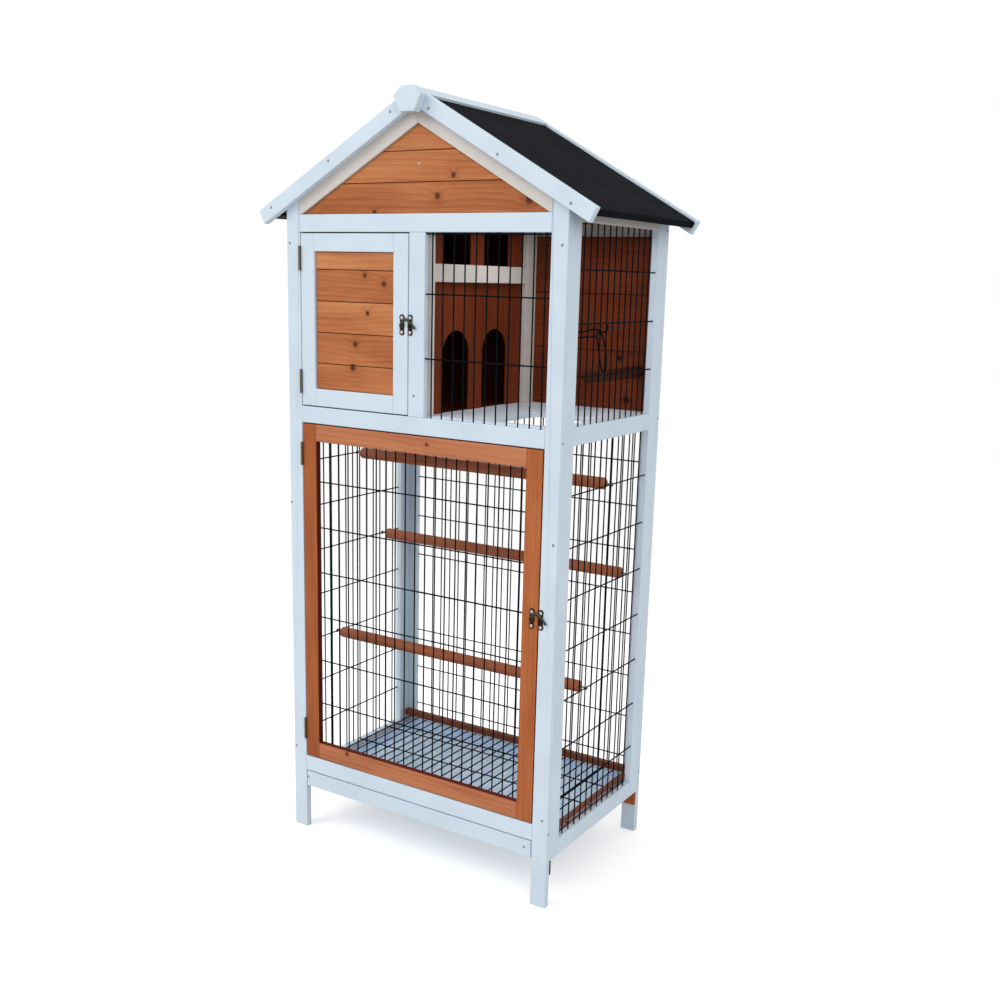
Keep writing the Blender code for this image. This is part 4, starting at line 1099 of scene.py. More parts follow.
@dataclass
class WirePanel:
    """A welded panel of round wires: uprights at one inch, level wires pressed onto them.

    Rows run from first_row above its foot until last_gap below its head, or are centred if first_row is
    None. top_row adds one that far below the head. level_low puts the level wires on its lower face.
    """

    node: str
    plane: Plane
    row_pitch: float
    first_row: float | None = None
    last_gap: float = 0.0
    top_row: float | None = None
    level_low: bool = True
    lap: float = 9.6 * MM
    body: Body = Body.CAGE
    pitch: float = 25.4 * MM
    radius: float = 1.5 * MM
    weld: float = 0.4 * MM
    wander: float = 0.22 * MM
    stretch: float = 50 * MM

    def build(self) -> None:
        """Makes every wire as its own rod with a little waver along it."""
        low, high = corners(self.node)
        across, up, deep = self.plane.value
        columns = spread(low[across] + self.lap, high[across] - self.lap, self.pitch)
        foot, head = low[up] + self.lap, high[up] - self.lap
        if self.first_row is None:
            rows = spread(foot, head, self.row_pitch)
        else:
            rows = np.arange(foot + self.first_row, head - self.last_gap, self.row_pitch)
        if self.top_row is not None:
            rows = np.append(rows, head - self.top_row)
        room = (high[deep] - low[deep] + self.weld) / 4
        level, upright = (low[deep] + room, high[deep] - room)[:: 1 if self.level_low else -1]
        closer = (room - self.radius) * np.sign(upright - level)
        chance = np.random.default_rng(len(self.node) * 13 + int(head * 100))
        sets = ((up, across, columns, upright - closer), (across, up, rows, level + closer))
        wires = [
            self.wire(run, side, place, depth, (low[run], high[run]), chance)
            for run, side, places, depth in sets
            for place in places
        ]
        make_piece(f"{self.node}_wires", wires, WIRE, self.node, self.body, smooth=60)

    def wire(
        self, run: int, side: int, place: float, depth: float, ends: Pair, chance: np.random.Generator
    ) -> Surface:
        """One round wire of eight sides, bowed by a long wave and a short one that die out at its ends.

        Args:
            run: the axis that it follows.
            side: the axis that it may waver along.
            place: where it lies on that axis.
            depth: where it lies on the third axis.
            ends: its first and its last end.
            chance: source of the waver.

        Returns:
            A closed surface.
        """
        start, end = ends
        count = max(3, int((end - start) / self.stretch) + 1)
        step = np.linspace(0.0, 1.0, count)
        long, short = chance.uniform(0, 2 * math.pi, 2)
        wave = np.sin(math.pi * step) * (np.sin(3 * step + long) + 0.5 * np.sin(11 * step + short))
        path, normal = np.full((count, 3), depth), np.ones(3)
        path[:, run] = start + step * (end - start)
        path[:, side] = place + self.wander * wave
        normal[[run, side]] = 0.0
        return swept(path, self.radius * circle(8), normal)


@dataclass
class Perch:
    """A stained dowel with chamfered ends, held through the wire by a screw and two washers at each end."""

    node: str
    along: Axis
    finish: Finish = PERCH_FIR
    chamfer: float = 3.2 * MM
    short: float = 9 * MM
    washed: bool = True
    shank: float = 1.8 * MM
    sunk: float = 2 * MM

    def build(self) -> None:
        """Makes the dowel, up to a quarter of a millimetre uneven along its length, and its washers."""
        low, high = corners(self.node)
        axis = self.along.value
        if self.washed:
            low[axis], high[axis] = low[axis] + self.short, high[axis] - self.short
        length, radius = high[axis] - low[axis], (high[2] - low[2]) / 2
        centre = (low + high) / 2
        centre[axis] = low[axis]
        inside = np.linspace(self.chamfer, length - self.chamfer, 24)
        uneven = radius - 0.12 * MM * (1 - np.cos(37 * inside + low[1] * 50))
        ends = [(0.0, 0.0), (radius - self.chamfer, 0.0)]
        profile = [*ends, *zip(uneven, inside), *[(wide, length - at) for wide, at in reversed(ends)]]
        dowel = turned(profile, centre, self.along, 28)
        make_piece(f"{self.node}_dowel", [dowel], self.finish, self.node, smooth=35)
        if self.washed:
            self.wash(low[0], high[0], centre[1:])

    def wash(self, left: float, right: float, middle: Array) -> None:
        """Makes a shank, two washers and a screw head at each end.

        Args:
            left: the dowel's left end.
            right: its right end.
            middle: y and z of its axis.
        """
        disc = in_mm([(0.0, 0.0), (4.5, 0.0), (4.8, 0.4), (4.5, 0.8), (0.0, 0.8)])
        wider = [(wide * 1.15, rise) for wide, rise in disc]
        outer = (corners("side_mesh_lower_left")[0][0], corners("side_mesh_lower_right")[1][0])
        washers, screws = [], []
        for face, sign, end in zip(outer, (-1, 1), (left, right)):
            reach = abs(end - face) + self.sunk
            start = min(face, end - self.sunk) if sign < 0 else end - self.sunk
            shank = [(0.0, 0.0), (self.shank, 0.0), (self.shank, reach), (0.0, reach)]
            screws.append(turned(shank, (start, *middle), X, 12))
            for profile, at in ((disc, face), (wider, end + sign * 0.1 * MM)):
                washers.append(turned(profile, (at, *middle), X, 20, flip=sign < 0))
            screws.append(screw_head((face + sign * 0.8 * MM, *middle), X, sign, 2.8 * MM, 0.5, 1.2 * MM))
        make_piece(f"{self.node}_washers", washers, DARK_STEEL, smooth=30)
        make_piece(f"{self.node}_screws", screws, DARK_STEEL, smooth=30)


def screw_head(
    centre: Sequence[float], facing: Axis, sign: int, radius: float, turn: float, rise: float = 0.5 * MM
) -> Surface:
    """A low domed screw head with a cross recess.

    On a polar grid, the height over the seat is rise times (1.1 less (r / R) squared), less the recess,
    which is deep where the smaller of |x| and |y| is under a tenth of R and r is under 0.6 R.

    Args:
        centre: middle of the seat.
        facing: the axis that the head looks along.
        sign: which way along it.
        radius: the head's radius R.
        turn: how the cross is turned, in radians.
        rise: the dome's height.

    Returns:
        A closed surface that reaches 1.5 mm into the wood.
    """
    reach = np.array([0.0, 0.16, 0.3, 0.44, 0.56, 0.64, 0.78, 0.92, 1.0, 1.0])
    flat = reach[:, None, None] * radius * circle(32)
    radial = np.broadcast_to(reach[:, None], flat.shape[:2])
    narrow = abs(flat).min(axis=-1)
    root, deep = 1.5 * MM, 0.9 * MM
    recess = np.clip(1.6 - narrow / (0.09 * radius), 0, 1) * (radial < 0.6)
    height = rise * (1.1 - radial**2) - recess * deep
    height[-1] = -root
    spin = np.array([[math.cos(turn), math.sin(turn)], [-math.sin(turn), math.cos(turn)]])
    points = np.zeros((*radial.shape, 3))
    points[..., facing.others] = flat @ spin
    points[..., facing.value] = sign * height
    placed = points.reshape(-1, 3) + np.array(centre)
    return Surface(placed, tube_faces(*radial.shape, near_end=False), grain_of(placed, X, 1))


def smoothed(points: Pairs, steps: int = 6) -> Array:
    """A smooth line through points.

    Between p1 and p2, with p0 before and p3 after, a point is half of
    2 p1 + (p2 - p0) t + (2 p0 - 5 p1 + 4 p2 - p3) t^2 + (3 p1 - 3 p2 + p3 - p0) t^3.

    Args:
        points: places in order.
        steps: points made for each stretch.

    Returns:
        The line's points.
    """
    line = np.array(points, float)
    line = np.concatenate([line[:1], line, line[-1:]])
    before, start, end, after = line[:-3, None], line[1:-2, None], line[2:-1, None], line[3:, None]
    t = np.linspace(0, 1, steps, endpoint=False)[None, :, None]
    curve = 2 * start + (end - before) * t + (2 * before - 5 * start + 4 * end - after) * t**2
    curve = (curve + (3 * start - 3 * end + after - before) * t**3) / 2
    return np.concatenate([curve.reshape(-1, line.shape[1]), line[-1:]])


@dataclass
class FoodClip:
    """The bent wire clip on the right side panel: a two-bar arm, a long drooping loop and a short hook."""

    radius: float = 1.7 * MM
    arm: Spots = ((-0.150, 1.146), (-0.110, 1.1463), (-0.078, 1.147), (-0.062, 1.146), (-0.0533, 1.1283))
    loop: Spots = ((-0.042, 1.097), (-0.033, 1.081), (-0.0255, 1.0777), (-0.0175, 1.083), (-0.0165, 1.104))
    back: Spots = ((-0.029, 1.1352), (-0.048, 1.156), (-0.078, 1.1605), (-0.110, 1.158), (-0.150, 1.156))
    prong: Spots = ((-0.062, 1.150), (-0.048, 1.1545), (-0.024, 1.155), (-0.016, 1.160), (-0.0185, 1.1685))

    def build(self) -> None:
        """Makes the clip's two wires against the inside of the panel."""
        depth = corners("food_clip")[0][0] + 0.9 * MM
        wires = []
        for line in (self.arm + self.loop + self.back, self.prong):
            flat = smoothed(line)
            path = np.column_stack([np.full(len(flat), depth), flat])
            wires.append(swept(path, self.radius * circle(10), (1.0, 0.0, 0.0)))
        make_piece("food_clip_wires", wires, WIRE, "food_clip", smooth=50)


@dataclass
class Roof:
    """Decked slopes under felt, the bargeboards along their ends and the ridge cap.

    The top, shoulder and foot of the cap's end plate are half widths.
    """

    line: Roofline
    cap_width: float = 34.5 * MM
    board_width: float = 30 * MM
    felt: float = 2.2 * MM
    bend: float = 3.0 * MM
    wave: float = 0.16 * MM
    gap: float = 0.3 * MM
    plate_top: float = 12 * MM
    plate_shoulder: float = 31 * MM
    plate_foot: float = 17 * MM
    plate_height: float = 47 * MM
    plate_depth: float = 20 * MM

    def build(self) -> None:
        """Makes both slopes, the four bargeboards and the cap."""
        for side, hand in ((-1, "left"), (1, "right")):
            self.slope(side, hand)
            for index, end in enumerate(("front", "back")):
                self.bargeboard(side, f"bargeboard_{end}_{hand}", 110 + 2 * index + side)
        self.cap()

    def slope(self, side: int, hand: str) -> None:
        """The felt, folded down over the eave, and the deck under it.

        The felt's outline is carried along the ridge in 36 steps; each point is then lifted by a sum of three
        slow waves of at most half a millimetre, which start 30 mm from the ridge and are full at 80 mm.

        Args:
            side: -1 on the left, 1 on the right.
            hand: the word for it in the solid's name.
        """
        line, low, high = self.line, *corners(f"roof_panel_{hand}")
        top, under, bend = -line.felt_drop, -line.felt_drop - self.felt, self.bend
        reach = max(abs(low[0]), abs(high[0])) / math.cos(line.angle) - top * math.tan(line.angle)
        inner, eave = reach - self.felt, top - line.lip
        route = [(down, top) for down in np.linspace(line.start(top), reach - bend, 24)[:-1]]
        for turn in np.linspace(0, math.pi / 2, 6):
            route.append((reach - bend + bend * math.sin(turn), top - bend + bend * math.cos(turn)))
        route += [(reach, eave), (inner, eave)]
        route += [(down, under) for down in np.linspace(inner, line.start(under), 12)]
        steps = [(0.0, step) for step in np.linspace(0, high[1] - low[1], 37)]
        sheet = loft(line.points(side, *route), steps, Plane.XZ, low[1], Y, 120)
        x, y = sheet.points[:, 0], sheet.points[:, 1]
        wave = np.sin(17 * x + 5 * y) + np.sin(31 * x - 12 * y + 1) + np.sin(23 * y + 2 * side)
        sheet.points[:, 2] += self.wave * wave * np.clip((abs(x) - 0.03) / 0.05, 0, 1)
        make_piece(f"roof_felt_{hand}", [sheet], FELT, f"roof_panel_{hand}", smooth=40)
        over, foot, lip = under - SEAM, top - line.deck, reach - line.lip_width
        route = [(line.start(over), over), (inner - self.gap, over), (inner - self.gap, eave)]
        route += [(lip, eave), (lip, foot), (line.start(foot), foot)]
        near, far = low[1] + 0.5 * MM, high[1] - 0.5 * MM
        deck = panel(line.points(side, *route), near, far, Plane.XZ, Y, 124 + side)
        make_piece(f"roof_deck_{hand}", [deck], BLACK_FIR)

    def bargeboard(self, side: int, node: str, seed: int) -> None:
        """A board along one end of one slope, notched under the ridge cap.

        Args:
            side: -1 on the left, 1 on the right.
            node: the board's solid.
            seed: picks its grain.
        """
        line, low, high = self.line, *corners(node)
        top, notch, foot = -line.felt_drop, self.cap_width + self.gap, -self.board_width
        route = [(line.start(top), top), (notch, top), (notch, 0.0), (line.length, 0.0)]
        route += [(line.length, foot), (line.start(foot), foot)]
        surface = panel(line.points(side, *route), low[1], high[1], Plane.XZ, X, seed, EASE)
        make_piece(f"{node}_board", [surface], WHITE, node)

    def cap(self) -> None:
        """Makes two boards that meet on the ridge, and the eight-sided plate on their front end."""
        line, low, high = self.line, *corners("ridge_cap")
        rise, joint, near = self.gap - line.felt_drop, 0.1 * MM, low[1] + self.plate_depth
        surfaces = []
        for side in (-1, 1):
            outline = [
                (side * joint, line.ridge),
                *line.points(side, (self.cap_width, 0.0), (self.cap_width, rise)),
                (side * joint, line.ridge + rise / math.cos(line.angle)),
            ]
            surfaces.append(panel(outline, near, high[1], Plane.XZ, Y, 130 + side, 0.9 * MM))
        top, tall = line.ridge - 2 * MM, self.plate_height
        right = [(self.plate_foot, top - tall), (self.plate_shoulder, top - 0.4 * tall)]
        right += [(self.plate_shoulder, top - tall / 3), (self.plate_top, top)]
        outline = right + [(-across, up) for across, up in reversed(right)]
        surfaces.append(panel(outline, low[1], near, Plane.XZ, Z, 133, 1.4 * MM))
        make_piece("ridge_cap_boards", surfaces, WHITE, "ridge_cap")


@dataclass
class Door:
    """A door frame of two stiles with two rails butted between them."""

    name: str
    body: Body
    finish: Finish
    rails: Finish
    member: float = 36 * MM
    shade_skin: float = 0.4 * MM

    def build(self) -> None:
        """Makes the four members."""
        node = f"{self.name}_frame"
        low, high = corners(node)
        left, right = low[0] + self.member, high[0] - self.member
        stiles = [
            board(low, (left, high[1], high[2]), Z, 140 + len(self.name)),
            board((right, low[1], low[2]), high, Z, 143),
        ]
        rails = [
            board((left + SEAM, low[1], foot), (right - SEAM, high[1], foot + self.member), X, seed)
            for seed, foot in enumerate((low[2], high[2] - self.member), 150)
        ]
        make_piece(f"{self.name}_stiles", stiles, self.finish, node, self.body)
        make_piece(f"{self.name}_rails", rails, self.rails, body=self.body)

    def shade_gaps(self) -> None:
        """Thin dark faces on the door's top and foot, where hardly any light gets into the gap."""
        low, high = corners(f"{self.name}_frame")
        thin, skin = self.shade_skin, 2.0 * MM
        surfaces = []
        for at in (low[2] - thin, high[2]):
            near, far = (low[0] + skin, low[1] + skin, at), (high[0] - skin, high[1] - skin, at + thin)
            surfaces.append(board(near, far, X, 151, FINE_EASE))
        make_piece(f"{self.name}_shaded_edges", surfaces, SHADE_PAINTED_TONGUE_FIR, body=self.body)

    def paint_edge_shade(self) -> None:
        """Thin faces of painted shade: inside the opening, and along the latch side and the top."""
        low, high = corners(f"{self.name}_frame")
        thin, skin = self.shade_skin, 1.0 * MM
        (left, _, foot), (right, _, head) = low + self.member, high - self.member
        strips = (
            (left, left + thin, foot, head, Z, 145),
            (right - thin, right, foot, head, Z, 146),
            (left + thin, right - thin, foot, foot + thin, X, 147),
            (left + thin, right - thin, head - thin, head, X, 148),
            (high[0], high[0] + thin, low[2] + skin, high[2] - skin, Z, 149),
            (low[0] + skin, high[0] - skin, high[2], high[2] + thin, X, 151),
        )
        surfaces = [
            board((near, low[1] + skin, under), (far, high[1] - skin, over), along, seed, FINE_EASE)
            for near, far, under, over, along, seed in strips
        ]
        make_piece(f"{self.name}_dark_edges", surfaces, EDGE_SHADE_FIR, body=self.body)


@dataclass
class SwingLatch:
    """An antique latch: two cast plates with domed bosses, and a hook that swings over the gap."""

    prefix: str
    door: Body
    hook: Body
    lobe: float = 5.9 * MM
    lobe_high: float = 16.3 * MM
    lobe_low: float = 13.4 * MM
    boss: float = 6.6 * MM
    waist: float = 4.8 * MM
    thickness: float = 1.5 * MM
    screw: float = 3.3 * MM

    def plate(self, centre: Array, face: float) -> Surface:
        """A cast plate, at each height as wide as the widest of a round boss, two lobes and a waist.

        Args:
            centre: the plate's middle.
            face: where its back lies.

        Returns:
            A closed surface.
        """
        middle = (self.lobe_high - self.lobe_low) / 2
        height = (self.lobe_high + self.lobe_low) / 2 + self.lobe
        up = middle + height * np.sin(np.linspace(-math.pi / 2, math.pi / 2, 45))[1:-1]
        rounds = ((self.boss, 0.0), (self.lobe, -self.lobe_low), (self.lobe, self.lobe_high))
        widths = [np.sqrt(np.clip(radius**2 - (up - at) ** 2, 0, None)) for radius, at in rounds]
        widths.append(np.where((up > -self.lobe_low) & (up < self.lobe_high), self.waist, 0.0))
        half = np.maximum.reduce(widths)
        across, rise = np.concatenate([half, -half[::-1]]), np.concatenate([up, up[::-1]])
        outline = np.column_stack([centre[0] + across, centre[2] + rise])
        thick = self.thickness
        profile = [(0.7 * MM, -thick), (0.25 * MM, -0.8 * thick), (0.0, -0.4 * thick), (0.0, 0.0)]
        return loft(outline, profile, Plane.XZ, face, Z, 160)

    def build(self) -> None:
        """Makes both plates, their bosses and screws, and the hook."""
        pin = [(1.5, -1.0), (2.8, -1.0), (2.8, -0.5), (1.9, 0.0), (0.0, 0.0)]
        peg = [(2.2, -0.4), (1.6, 0.0), (0.0, 0.0)]
        screws = ((self.lobe_high - 1 * MM, "upper", BRIGHT), (-self.lobe_low, "lower", COPPER))
        for part, body, top in (("plate", self.door, pin), ("keeper", Body.CAGE, peg)):
            node = f"{self.prefix}_latch_{part}"
            low, high = corners(node)
            centre, face = (low + high) / 2, high[1]
            dome = in_mm([(0.0, -0.5), (5.6, -0.5), (5.6, 1.5), (4.6, 1.9), (top[0][0], 1.9)])
            dome += [(wide, face - low[1] + rise) for wide, rise in in_mm(top)]
            boss = turned(dome, (centre[0], face, centre[2]), Y, 24, flip=True)
            make_piece(f"{node}_casting", [self.plate(centre, face), boss], BRONZE, node, body, smooth=35)
            for at, name, look in screws:
                spot = (centre[0], face - self.thickness, centre[2] + at)
                head = screw_head(spot, Y, -1, self.screw, 80 * at, 0.9 * MM)
                make_piece(f"{node}_screw_{name}", [head], look, body=body, smooth=35)
        self.swing()

    def swing(self) -> None:
        """Makes the hook: an eye on the pin, a bar that rises over the gap and falls to a knob.

        The bar's middle line is one cubic curve that starts at a, ends at d and is drawn towards b and c,
        (1-t)^3 a + 3 t (1-t)^2 b + 3 t^2 (1-t) c + t^3 d, and a straight stretch from there to its tip.
        """
        node = f"{self.prefix}_latch_hook"
        low, high = corners(node)
        pin = sum(corners(f"{self.prefix}_latch_plate")) / 2
        pin[1] = high[1]
        a, b, c, d, tip = np.array([(1.0, 3.4), (5.0, 17.0), (15.0, 14.0), (24.0, 5.0), (32.0, -3.5)]) * MM
        t = np.linspace(0, 1, 20)[:, None]
        bar = (1 - t) ** 3 * a + 3 * t * (1 - t) ** 2 * b + 3 * t**2 * (1 - t) * c + t**3 * d
        bar = np.concatenate([bar, d + np.linspace(0.2, 1, 5)[:, None] * (tip - d)])
        depth = np.full(len(bar), (low[1] + high[1]) / 2)
        path = np.stack([pin[0] + bar[:, 0], depth, pin[2] + bar[:, 1]], axis=1)
        taper = np.interp(np.arange(len(bar)), [0, 8, 20, 24], [1.0, 1.15, 0.9, 0.75])
        eye = in_mm([(1.7, 0.0), (4.2, 0.0), (4.6, 0.4), (4.6, 2.1), (4.2, 2.5), (1.7, 2.5), (1.7, 0.0)])
        knob = in_mm([(0.0, -0.2), (2.2, 0.0), (2.9, 0.9), (2.9, 1.8), (2.1, 2.8), (0.0, 3.1)])
        surfaces = [
            turned(eye, pin, Y, 24, flip=True),
            swept(path, circle(12) * (2.5 * MM, 1.5 * MM), (0.0, 1.0, 0.0), taper),
            turned(knob, (path[-1][0], high[1], path[-1][2]), Y, 16, flip=True),
        ]
        # The hook's paler bronze stands for a painted highlight
        make_piece(f"{node}_casting", surfaces, HIGHLIGHT_PAINTED_BRONZE, node, self.hook, smooth=35)


@dataclass
class Tray:
    """The sheet metal pan with a rolled rim, and the white board on its front."""

    sheet: float = 1.2 * MM
    roll: float = 1.6 * MM

    def build(self) -> None:
        """Makes the pan as one stacked outline: up the outside, over the roll and down to its floor."""
        low, high = corners("tray_pan")
        rise, roll, floor, corner = high[2] - low[2], self.roll, self.sheet, self.sheet + 1.0 * MM
        profile = [(0.8 * MM, 0.0), (0.0, 0.8 * MM)]
        for turn in np.linspace(math.pi, -math.pi / 2, 10):
            profile.append((roll + roll * math.cos(turn), rise - roll + roll * math.sin(turn)))
        profile += [(floor, rise - 2 * roll), (floor, corner), (corner, floor)]
        outline = eased_corners(np.where(SQUARE, high[:2], low[:2]), 6 * MM)
        pan = loft(outline, profile, Plane.XY, low[2], X, 170)
        make_piece("tray_pan_sheet", [pan], SHEET, "tray_pan", Body.TRAY, smooth=40)
        whole_board("tray_front", "board", X, 171, WHITE, Body.TRAY)


@dataclass
class Underframe:
    """The battens that hold the wire floor down, and the runners with their foot blocks."""

    front_block: Pair = (20 * MM, 5.5 * MM)
    back_block: Pair = (27 * MM, 8 * MM)
    block_lap: float = 5 * MM
    runner_width: float = 30 * MM
    runner_depth: float = 20.3 * MM

    def build(self) -> None:
        """Makes battens, runners and blocks."""
        whole_board("floor_batten_back", "strip", X, 180, BATTEN_FIR)
        whole_board("floor_batten_right", "strip", Y, 181, BATTEN_FIR)
        for hand, side in (("left", -1), ("right", 1)):
            node = f"tray_runner_{hand}"
            low, high = corners(node)
            inner, outer = (high[0], low[0]) if side < 0 else (low[0], high[0])
            foot = high[2] - self.runner_depth
            left, right = sorted((inner, inner + side * self.runner_width))
            runner = board((left, low[1], foot), (right, high[1], high[2]), Y, 184)
            blocks = []
            back = high[1] - self.back_block[1]
            for (width, deep), near in ((self.front_block, low[1]), (self.back_block, back)):
                left, right = sorted((outer, outer - side * width))
                top = (right, near + deep, foot + self.block_lap)
                blocks.append(board((left, near, low[2]), top, Y, 185, 0.6 * MM))
            make_piece(f"{node}_boards", [runner, blocks[1]], FRAME_FIR, node)
            # The front block takes the same near-black finish
            make_piece(f"{node}_front_block", [blocks[0]], SHADE_PAINTED_TONGUE_FIR)


@dataclass
class Fasteners:
    """Screw heads where the photograph shows them, as places across and up on the face that they sit in.

    The left side, which the photograph hides, has them where the right side does.
    """

    radius: float = 2.7 * MM
    rise: float = 0.25 * MM
    nail: float = 1.9 * MM
    nail_height: float = 1.462
    front: Spots = (
        (-0.328, 1.312), (-0.334, 0.762), (-0.330, 0.193), (0.324, 1.312), (0.327, 0.759), (0.324, 0.191),
        (-0.0046, 1.018),
    )
    strip: Spots = ((-0.295, 0.125), (0.2835, 0.1227))
    sides: Spots = ((-0.1975, 0.953), (-0.1975, 0.162), (0.2175, 1.357), (0.2175, 0.966), (0.2175, 0.147))
    boards: Spots = (
        (-0.365, 1.383), (-0.209, 1.471), (-0.054, 1.556), (0.036, 1.557), (0.191, 1.4705), (0.347, 1.383)
    )

    def build(self) -> None:
        """Places rows of heads on the front, the sides and the bargeboards, and a nail in the gable."""
        front, right = corners("post_front_left")[0][1], corners("side_frame_right")[1][0]
        self.row("front_screws", self.front, Y, -1, front)
        self.row("strip_screws", self.strip, Y, -1, front, Body.TRAY)
        self.row("side_screws", self.sides, X, 1, right)
        self.row("left_side_screws", self.sides, X, -1, -right)
        nail = (0.0, corners("gable_planks_front")[0][1], self.nail_height)
        head = screw_head(nail, Y, -1, self.nail, 0.0, 0.3 * MM)
        make_piece("gable_nail", [head], BRIGHT, smooth=30)
        self.row("bargeboard_screws", self.boards, Y, -1, corners("bargeboard_front_left")[0][1])

    def row(
        self, name: str, spots: Pairs, facing: Axis, sign: int, face: float, body: Body = Body.CAGE
    ) -> None:
        """Makes the heads of one row as one piece, each turned its own way.

        Args:
            name: the piece's name.
            spots: places across and up.
            facing: the axis that the heads look along.
            sign: which way along it.
            face: where their seats lie on it.
            body: the body that they move with.
        """
        heads = []
        for index, spot in enumerate(spots):
            centre = np.insert(spot, facing.value, face)
            heads.append(screw_head(centre, facing, sign, self.radius, 0.7 * index, self.rise))
        make_piece(name, heads, DARK_STEEL, body=body, smooth=30)


# Room and camera


@dataclass
class Camera:
    """The photograph's point of view, in metres and radians, and its framing in pixels."""

    place: Point = (1.37703, -2.06565, 1.24879)
    turn: float = 0.5553
    tilt: float = -0.2199
    roll: float = -0.0262
    focal: float = 1154.0
    centre: Pair = (506.56, 537.87)
    frame_size: float = 1000.0
    sensor_mm: float = 36.0
    far_end: float = 60.0

    def build(self) -> None:
        """Places the camera and shifts its sensor to the photograph's framing."""
        data = bpy.data.cameras.new("view")
        data.sensor_width = self.sensor_mm
        data.lens = self.focal / self.frame_size * self.sensor_mm
        data.shift_x = (self.frame_size / 2 - self.centre[0]) / self.frame_size
        data.shift_y = (self.centre[1] - self.frame_size / 2) / self.frame_size
        data.clip_end = self.far_end
        turn = Matrix.Identity(3)
        for angle, axis in ((self.turn, "Z"), (self.tilt, "X"), (self.roll, "Y")):
            turn = turn @ Matrix.Rotation(angle, 3, axis)
        axes = Matrix((turn.col[0], turn.col[2], -turn.col[1])).transposed()
        view = bpy.data.objects.new("view", data)
        bpy.context.scene.collection.objects.link(view)
        view.matrix_world = Matrix.Translation(Vector(self.place)) @ axes.to_4x4()
        bpy.context.scene.camera = view


@dataclass
class Studio:
    """A pale floor fading into white, a large soft key, a weak fill and a small lamp for the upper room."""

    floor_size: float = 9.0
    fade_from: float = 1.1
    fade_to: float = 3.2
    sky: float = 0.80
    key: float = 88.0
    fill: float = 44.0
    room: float = 0.46

    def build(self) -> None:
        """Makes the floor, the lamps and the world, brighter above than below and white where it is seen."""
        mesh = bpy.data.meshes.new("floor")
        places = np.column_stack([(SQUARE - 0.5) * self.floor_size, np.zeros(4)])
        mesh.from_pydata(places.tolist(), [], [(0, 1, 2, 3)])
        floor = bpy.data.objects.new("floor", mesh)
        bpy.context.scene.collection.objects.link(floor)
        mesh.materials.append(self.floor_material())
        self.lamp("key_light", (-2.6, -3.2, 3.6), (0.0, 0.0, 0.9), 3.2, self.key)
        self.lamp("fill_light", (3.2, -2.6, 2.4), (0.0, 0.0, 0.9), 2.6, self.fill)
        self.lamp("room_light", (0.19, 0.0, 1.355), (0.19, 0.0, 0.98), 0.2, self.room)
        world = bpy.data.worlds.new("white_room")
        bpy.context.scene.world = world
        nodes = Nodes(world, "Background")
        direct = nodes.add("LightPath", "Is Camera Ray")
        mirrored = direct.node.outputs["Is Glossy Ray"]
        seen = nodes.add("Math", operation="MAXIMUM", in0=direct, in1=mirrored)
        height = nodes.add("SeparateXYZ", "Z", in0=nodes.add("TexCoord", "Generated"))
        sky = nodes.add("MapRange", Value=height, From_Min=-0.3, From_Max=0.5, To_Min=0.35, To_Max=self.sky)
        strength = nodes.add("Math", operation="MAXIMUM", in0=seen, in1=sky)
        nodes.finish(Color="#FFFFFF", Strength=strength)
        bpy.context.scene.view_settings.view_transform = "Standard"

    def floor_material(self) -> bpy.types.Material:
        """Pale matt paper, lit up a little where it is seen, that fades out into the room's white.

        Returns:
            The material.
        """
        nodes = Nodes(bpy.data.materials.new("pale_studio_floor"))
        place = nodes.add("TexCoord", "Object")
        away = nodes.add("VectorMath", "Value", operation="LENGTH", in0=place)
        reach = {"From_Min": self.fade_from, "From_Max": self.fade_to}
        fade = nodes.add("MapRange", interpolation_type="SMOOTHSTEP", Value=away, **reach)
        seen = nodes.add("LightPath", "Is Camera Ray")
        colour = nodes.add("Mix", 2, data_type="RGBA", in0=seen, in6="#D8D8D8", in7="#FFFFFF")
        glow = nodes.add("Math", operation="MULTIPLY", in0=seen, in1=0.3)
        matt = {"Roughness": 1.0, "Specular_IOR_Level": 0.0}
        paper = nodes.finish(Base_Color=colour, Emission_Color="#FFFFFF", Emission_Strength=glow, **matt)
        clear = nodes.add("BsdfTransparent")
        mix = nodes.add("MixShader", in0=fade, in1=nodes.shader.outputs[0], in2=clear)
        nodes.dress(nodes.tree.nodes["Material Output"], Surface=mix)
        return paper

    def lamp(self, name: str, place: Point, aim: Point, size: float, power: float) -> None:
        """Adds a square area lamp that faces a point.

        Args:
            name: its name.
            place: where it hangs.
            aim: the point that it faces.
            size: its side in metres.
            power: its power in watts.
        """
        data = bpy.data.lights.new(name, "AREA")
        data.size = size
        data.energy = power
        lamp = bpy.data.objects.new(name, data)
        lamp.visible_camera = False
        bpy.context.scene.collection.objects.link(lamp)
        lamp.location = place
        lamp.rotation_mode = "QUATERNION"
        lamp.rotation_quaternion = (Vector(aim) - Vector(place)).to_track_quat("-Z", "Y")


# Assembly


def dress_solids() -> None:
    """Gives every solid that is still shown the finish of its material slot."""
    finishes = {
        "white_painted_wood": WHITE,
        # Remaining plank solids take the wall stain with its painted shade
        "orange_plank": SHADE_PAINTED_WALL_FIR,
        "red_brown_wood": FRAME_FIR,
        "perch_wood": PERCH_FIR,
        "roof_felt": FELT,
        "coated_wire": WIRE,
        "galvanised": SHEET,
        "antique_bronze": BRONZE,
    }
    for part in frame["record"]["subparts"]:
        chosen = HINGE if "_hinge_" in part["node"] else finishes[part["material_slot"]]
        for slot in frame["nodes"][part["node"]].material_slots:
            slot.material = chosen.material()


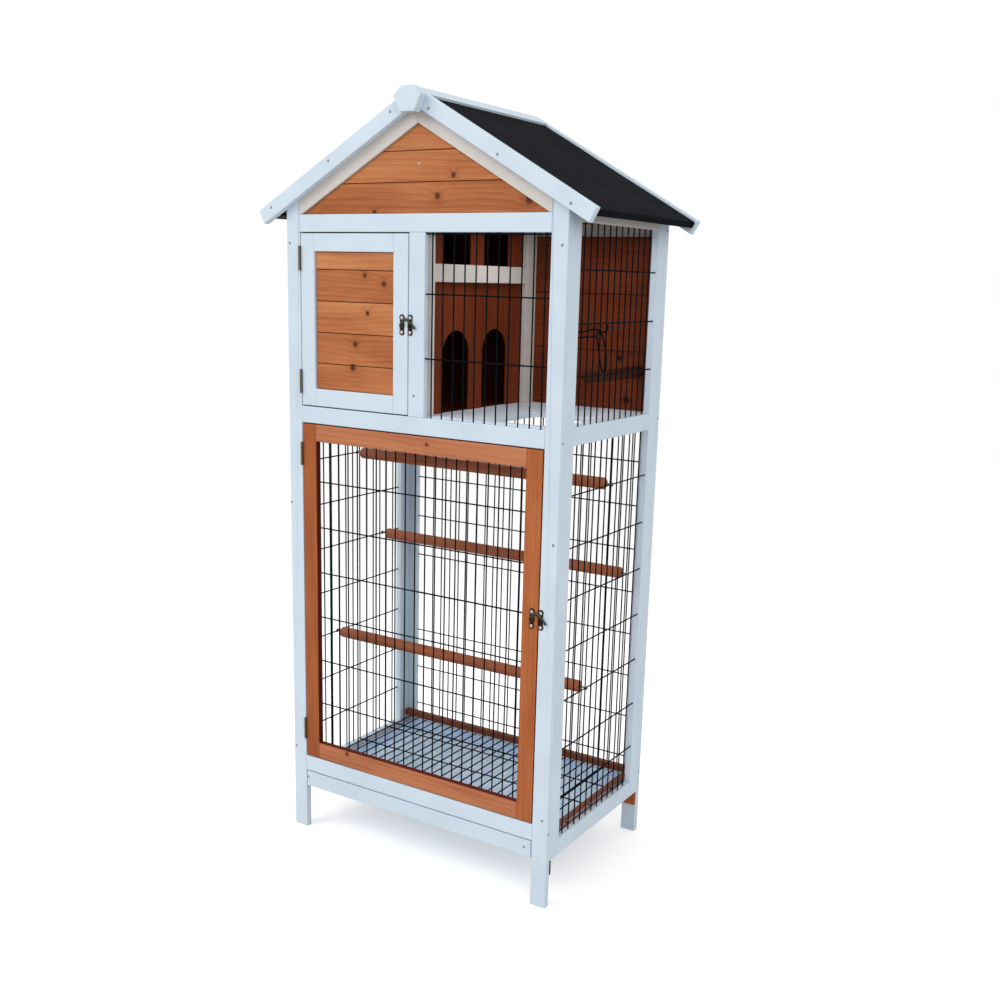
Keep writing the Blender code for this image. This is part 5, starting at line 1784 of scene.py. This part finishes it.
def build_wires() -> None:
    """Makes the six welded panels and the floor grid."""
    side = {"row_pitch": 104 * MM, "first_row": 88 * MM, "last_gap": 19.2 * MM}
    panels = (
        WirePanel("window_mesh", Plane.XZ, 125.2 * MM, top_row=3 * MM),
        WirePanel("side_mesh_lower_right", Plane.YZ, level_low=False, **side),
        WirePanel("side_mesh_lower_left", Plane.YZ, **side),
        WirePanel("side_mesh_upper_right", Plane.YZ, 99 * MM, 94 * MM, 19.2 * MM, level_low=False),
        WirePanel("back_mesh", Plane.XZ, 98.7 * MM, 40 * MM, 9.6 * MM, level_low=False),
        WirePanel("lower_door_mesh", Plane.XZ, 101.3 * MM, body=Body.LOWER_DOOR),
        WirePanel("floor_mesh", Plane.XY, 101.6 * MM, lap=0.0),
    )
    for welded in panels:
        welded.build()


def build_planks() -> None:
    """Makes the planked walls of the upper room, whose joints line up round its corner."""
    top = corners("back_planks")[1][2]
    joints = (top - 239.5 * MM, top - 119.5 * MM)
    # The walls' darker stain is painted shade
    PlankWall("back_planks", SHADE_PAINTED_WALL_FIR, joints, X).build()
    PlankWall("left_planks", SHADE_PAINTED_WALL_FIR, joints, Y).build()


def build_doors() -> None:
    """Makes both doors, the upper one with its planks, and their latches."""
    lower = Door("lower_door", Body.LOWER_DOOR, FRAME_FIR, RAIL_FIR)
    lower.build()
    lower.paint_edge_shade()
    upper = Door("upper_door", Body.UPPER_DOOR, WHITE, WHITE)
    upper.build()
    upper.shade_gaps()
    top = corners("upper_door_planks")[1][2]
    joints = [top - 35.7 * MM - 64 * MM * index for index in (3, 2, 1, 0)]
    tones = (0.62, 0.72, 0.28, 0.8, 0.05)
    PlankWall("upper_door_planks", DOOR_FIR, joints, X, Body.UPPER_DOOR, tones, 1.2 * MM).build()
    SwingLatch("lower", Body.LOWER_DOOR, Body.LOWER_HOOK).build()
    SwingLatch("upper", Body.UPPER_DOOR, Body.UPPER_HOOK).build()


def main() -> None:
    """Builds the sub-assemblies in order, then the light and the camera."""
    logging.basicConfig(level=logging.INFO, format="%(name)s: %(message)s")
    dress_solids()
    line = Roofline()
    front, back = Gable(line, "gable_planks_front"), Gable(line, "gable_planks_back")
    frames = (FrontFrame(line), SideFrame("side_frame_left"), SideFrame("side_frame_right"), BackFrame(line))
    for assembly in frames:
        assembly.build()
    front.build()
    front.frame()
    back.build()
    build_planks()
    build_wires()
    UpperFloor().build()
    NestBox().build()
    for index in (1, 2, 3):
        Perch(f"perch_{index}", X).build()
    # The upper perch is darkened by painted shade
    Perch("perch_upper", Y, SHADE_PAINTED_FIR, washed=False).build()
    FoodClip().build()
    Roof(line).build()
    Underframe().build()
    Tray().build()
    build_doors()
    Fasteners().build()
    Studio().build()
    Camera().build()


if __name__ == "__main__":
    main()
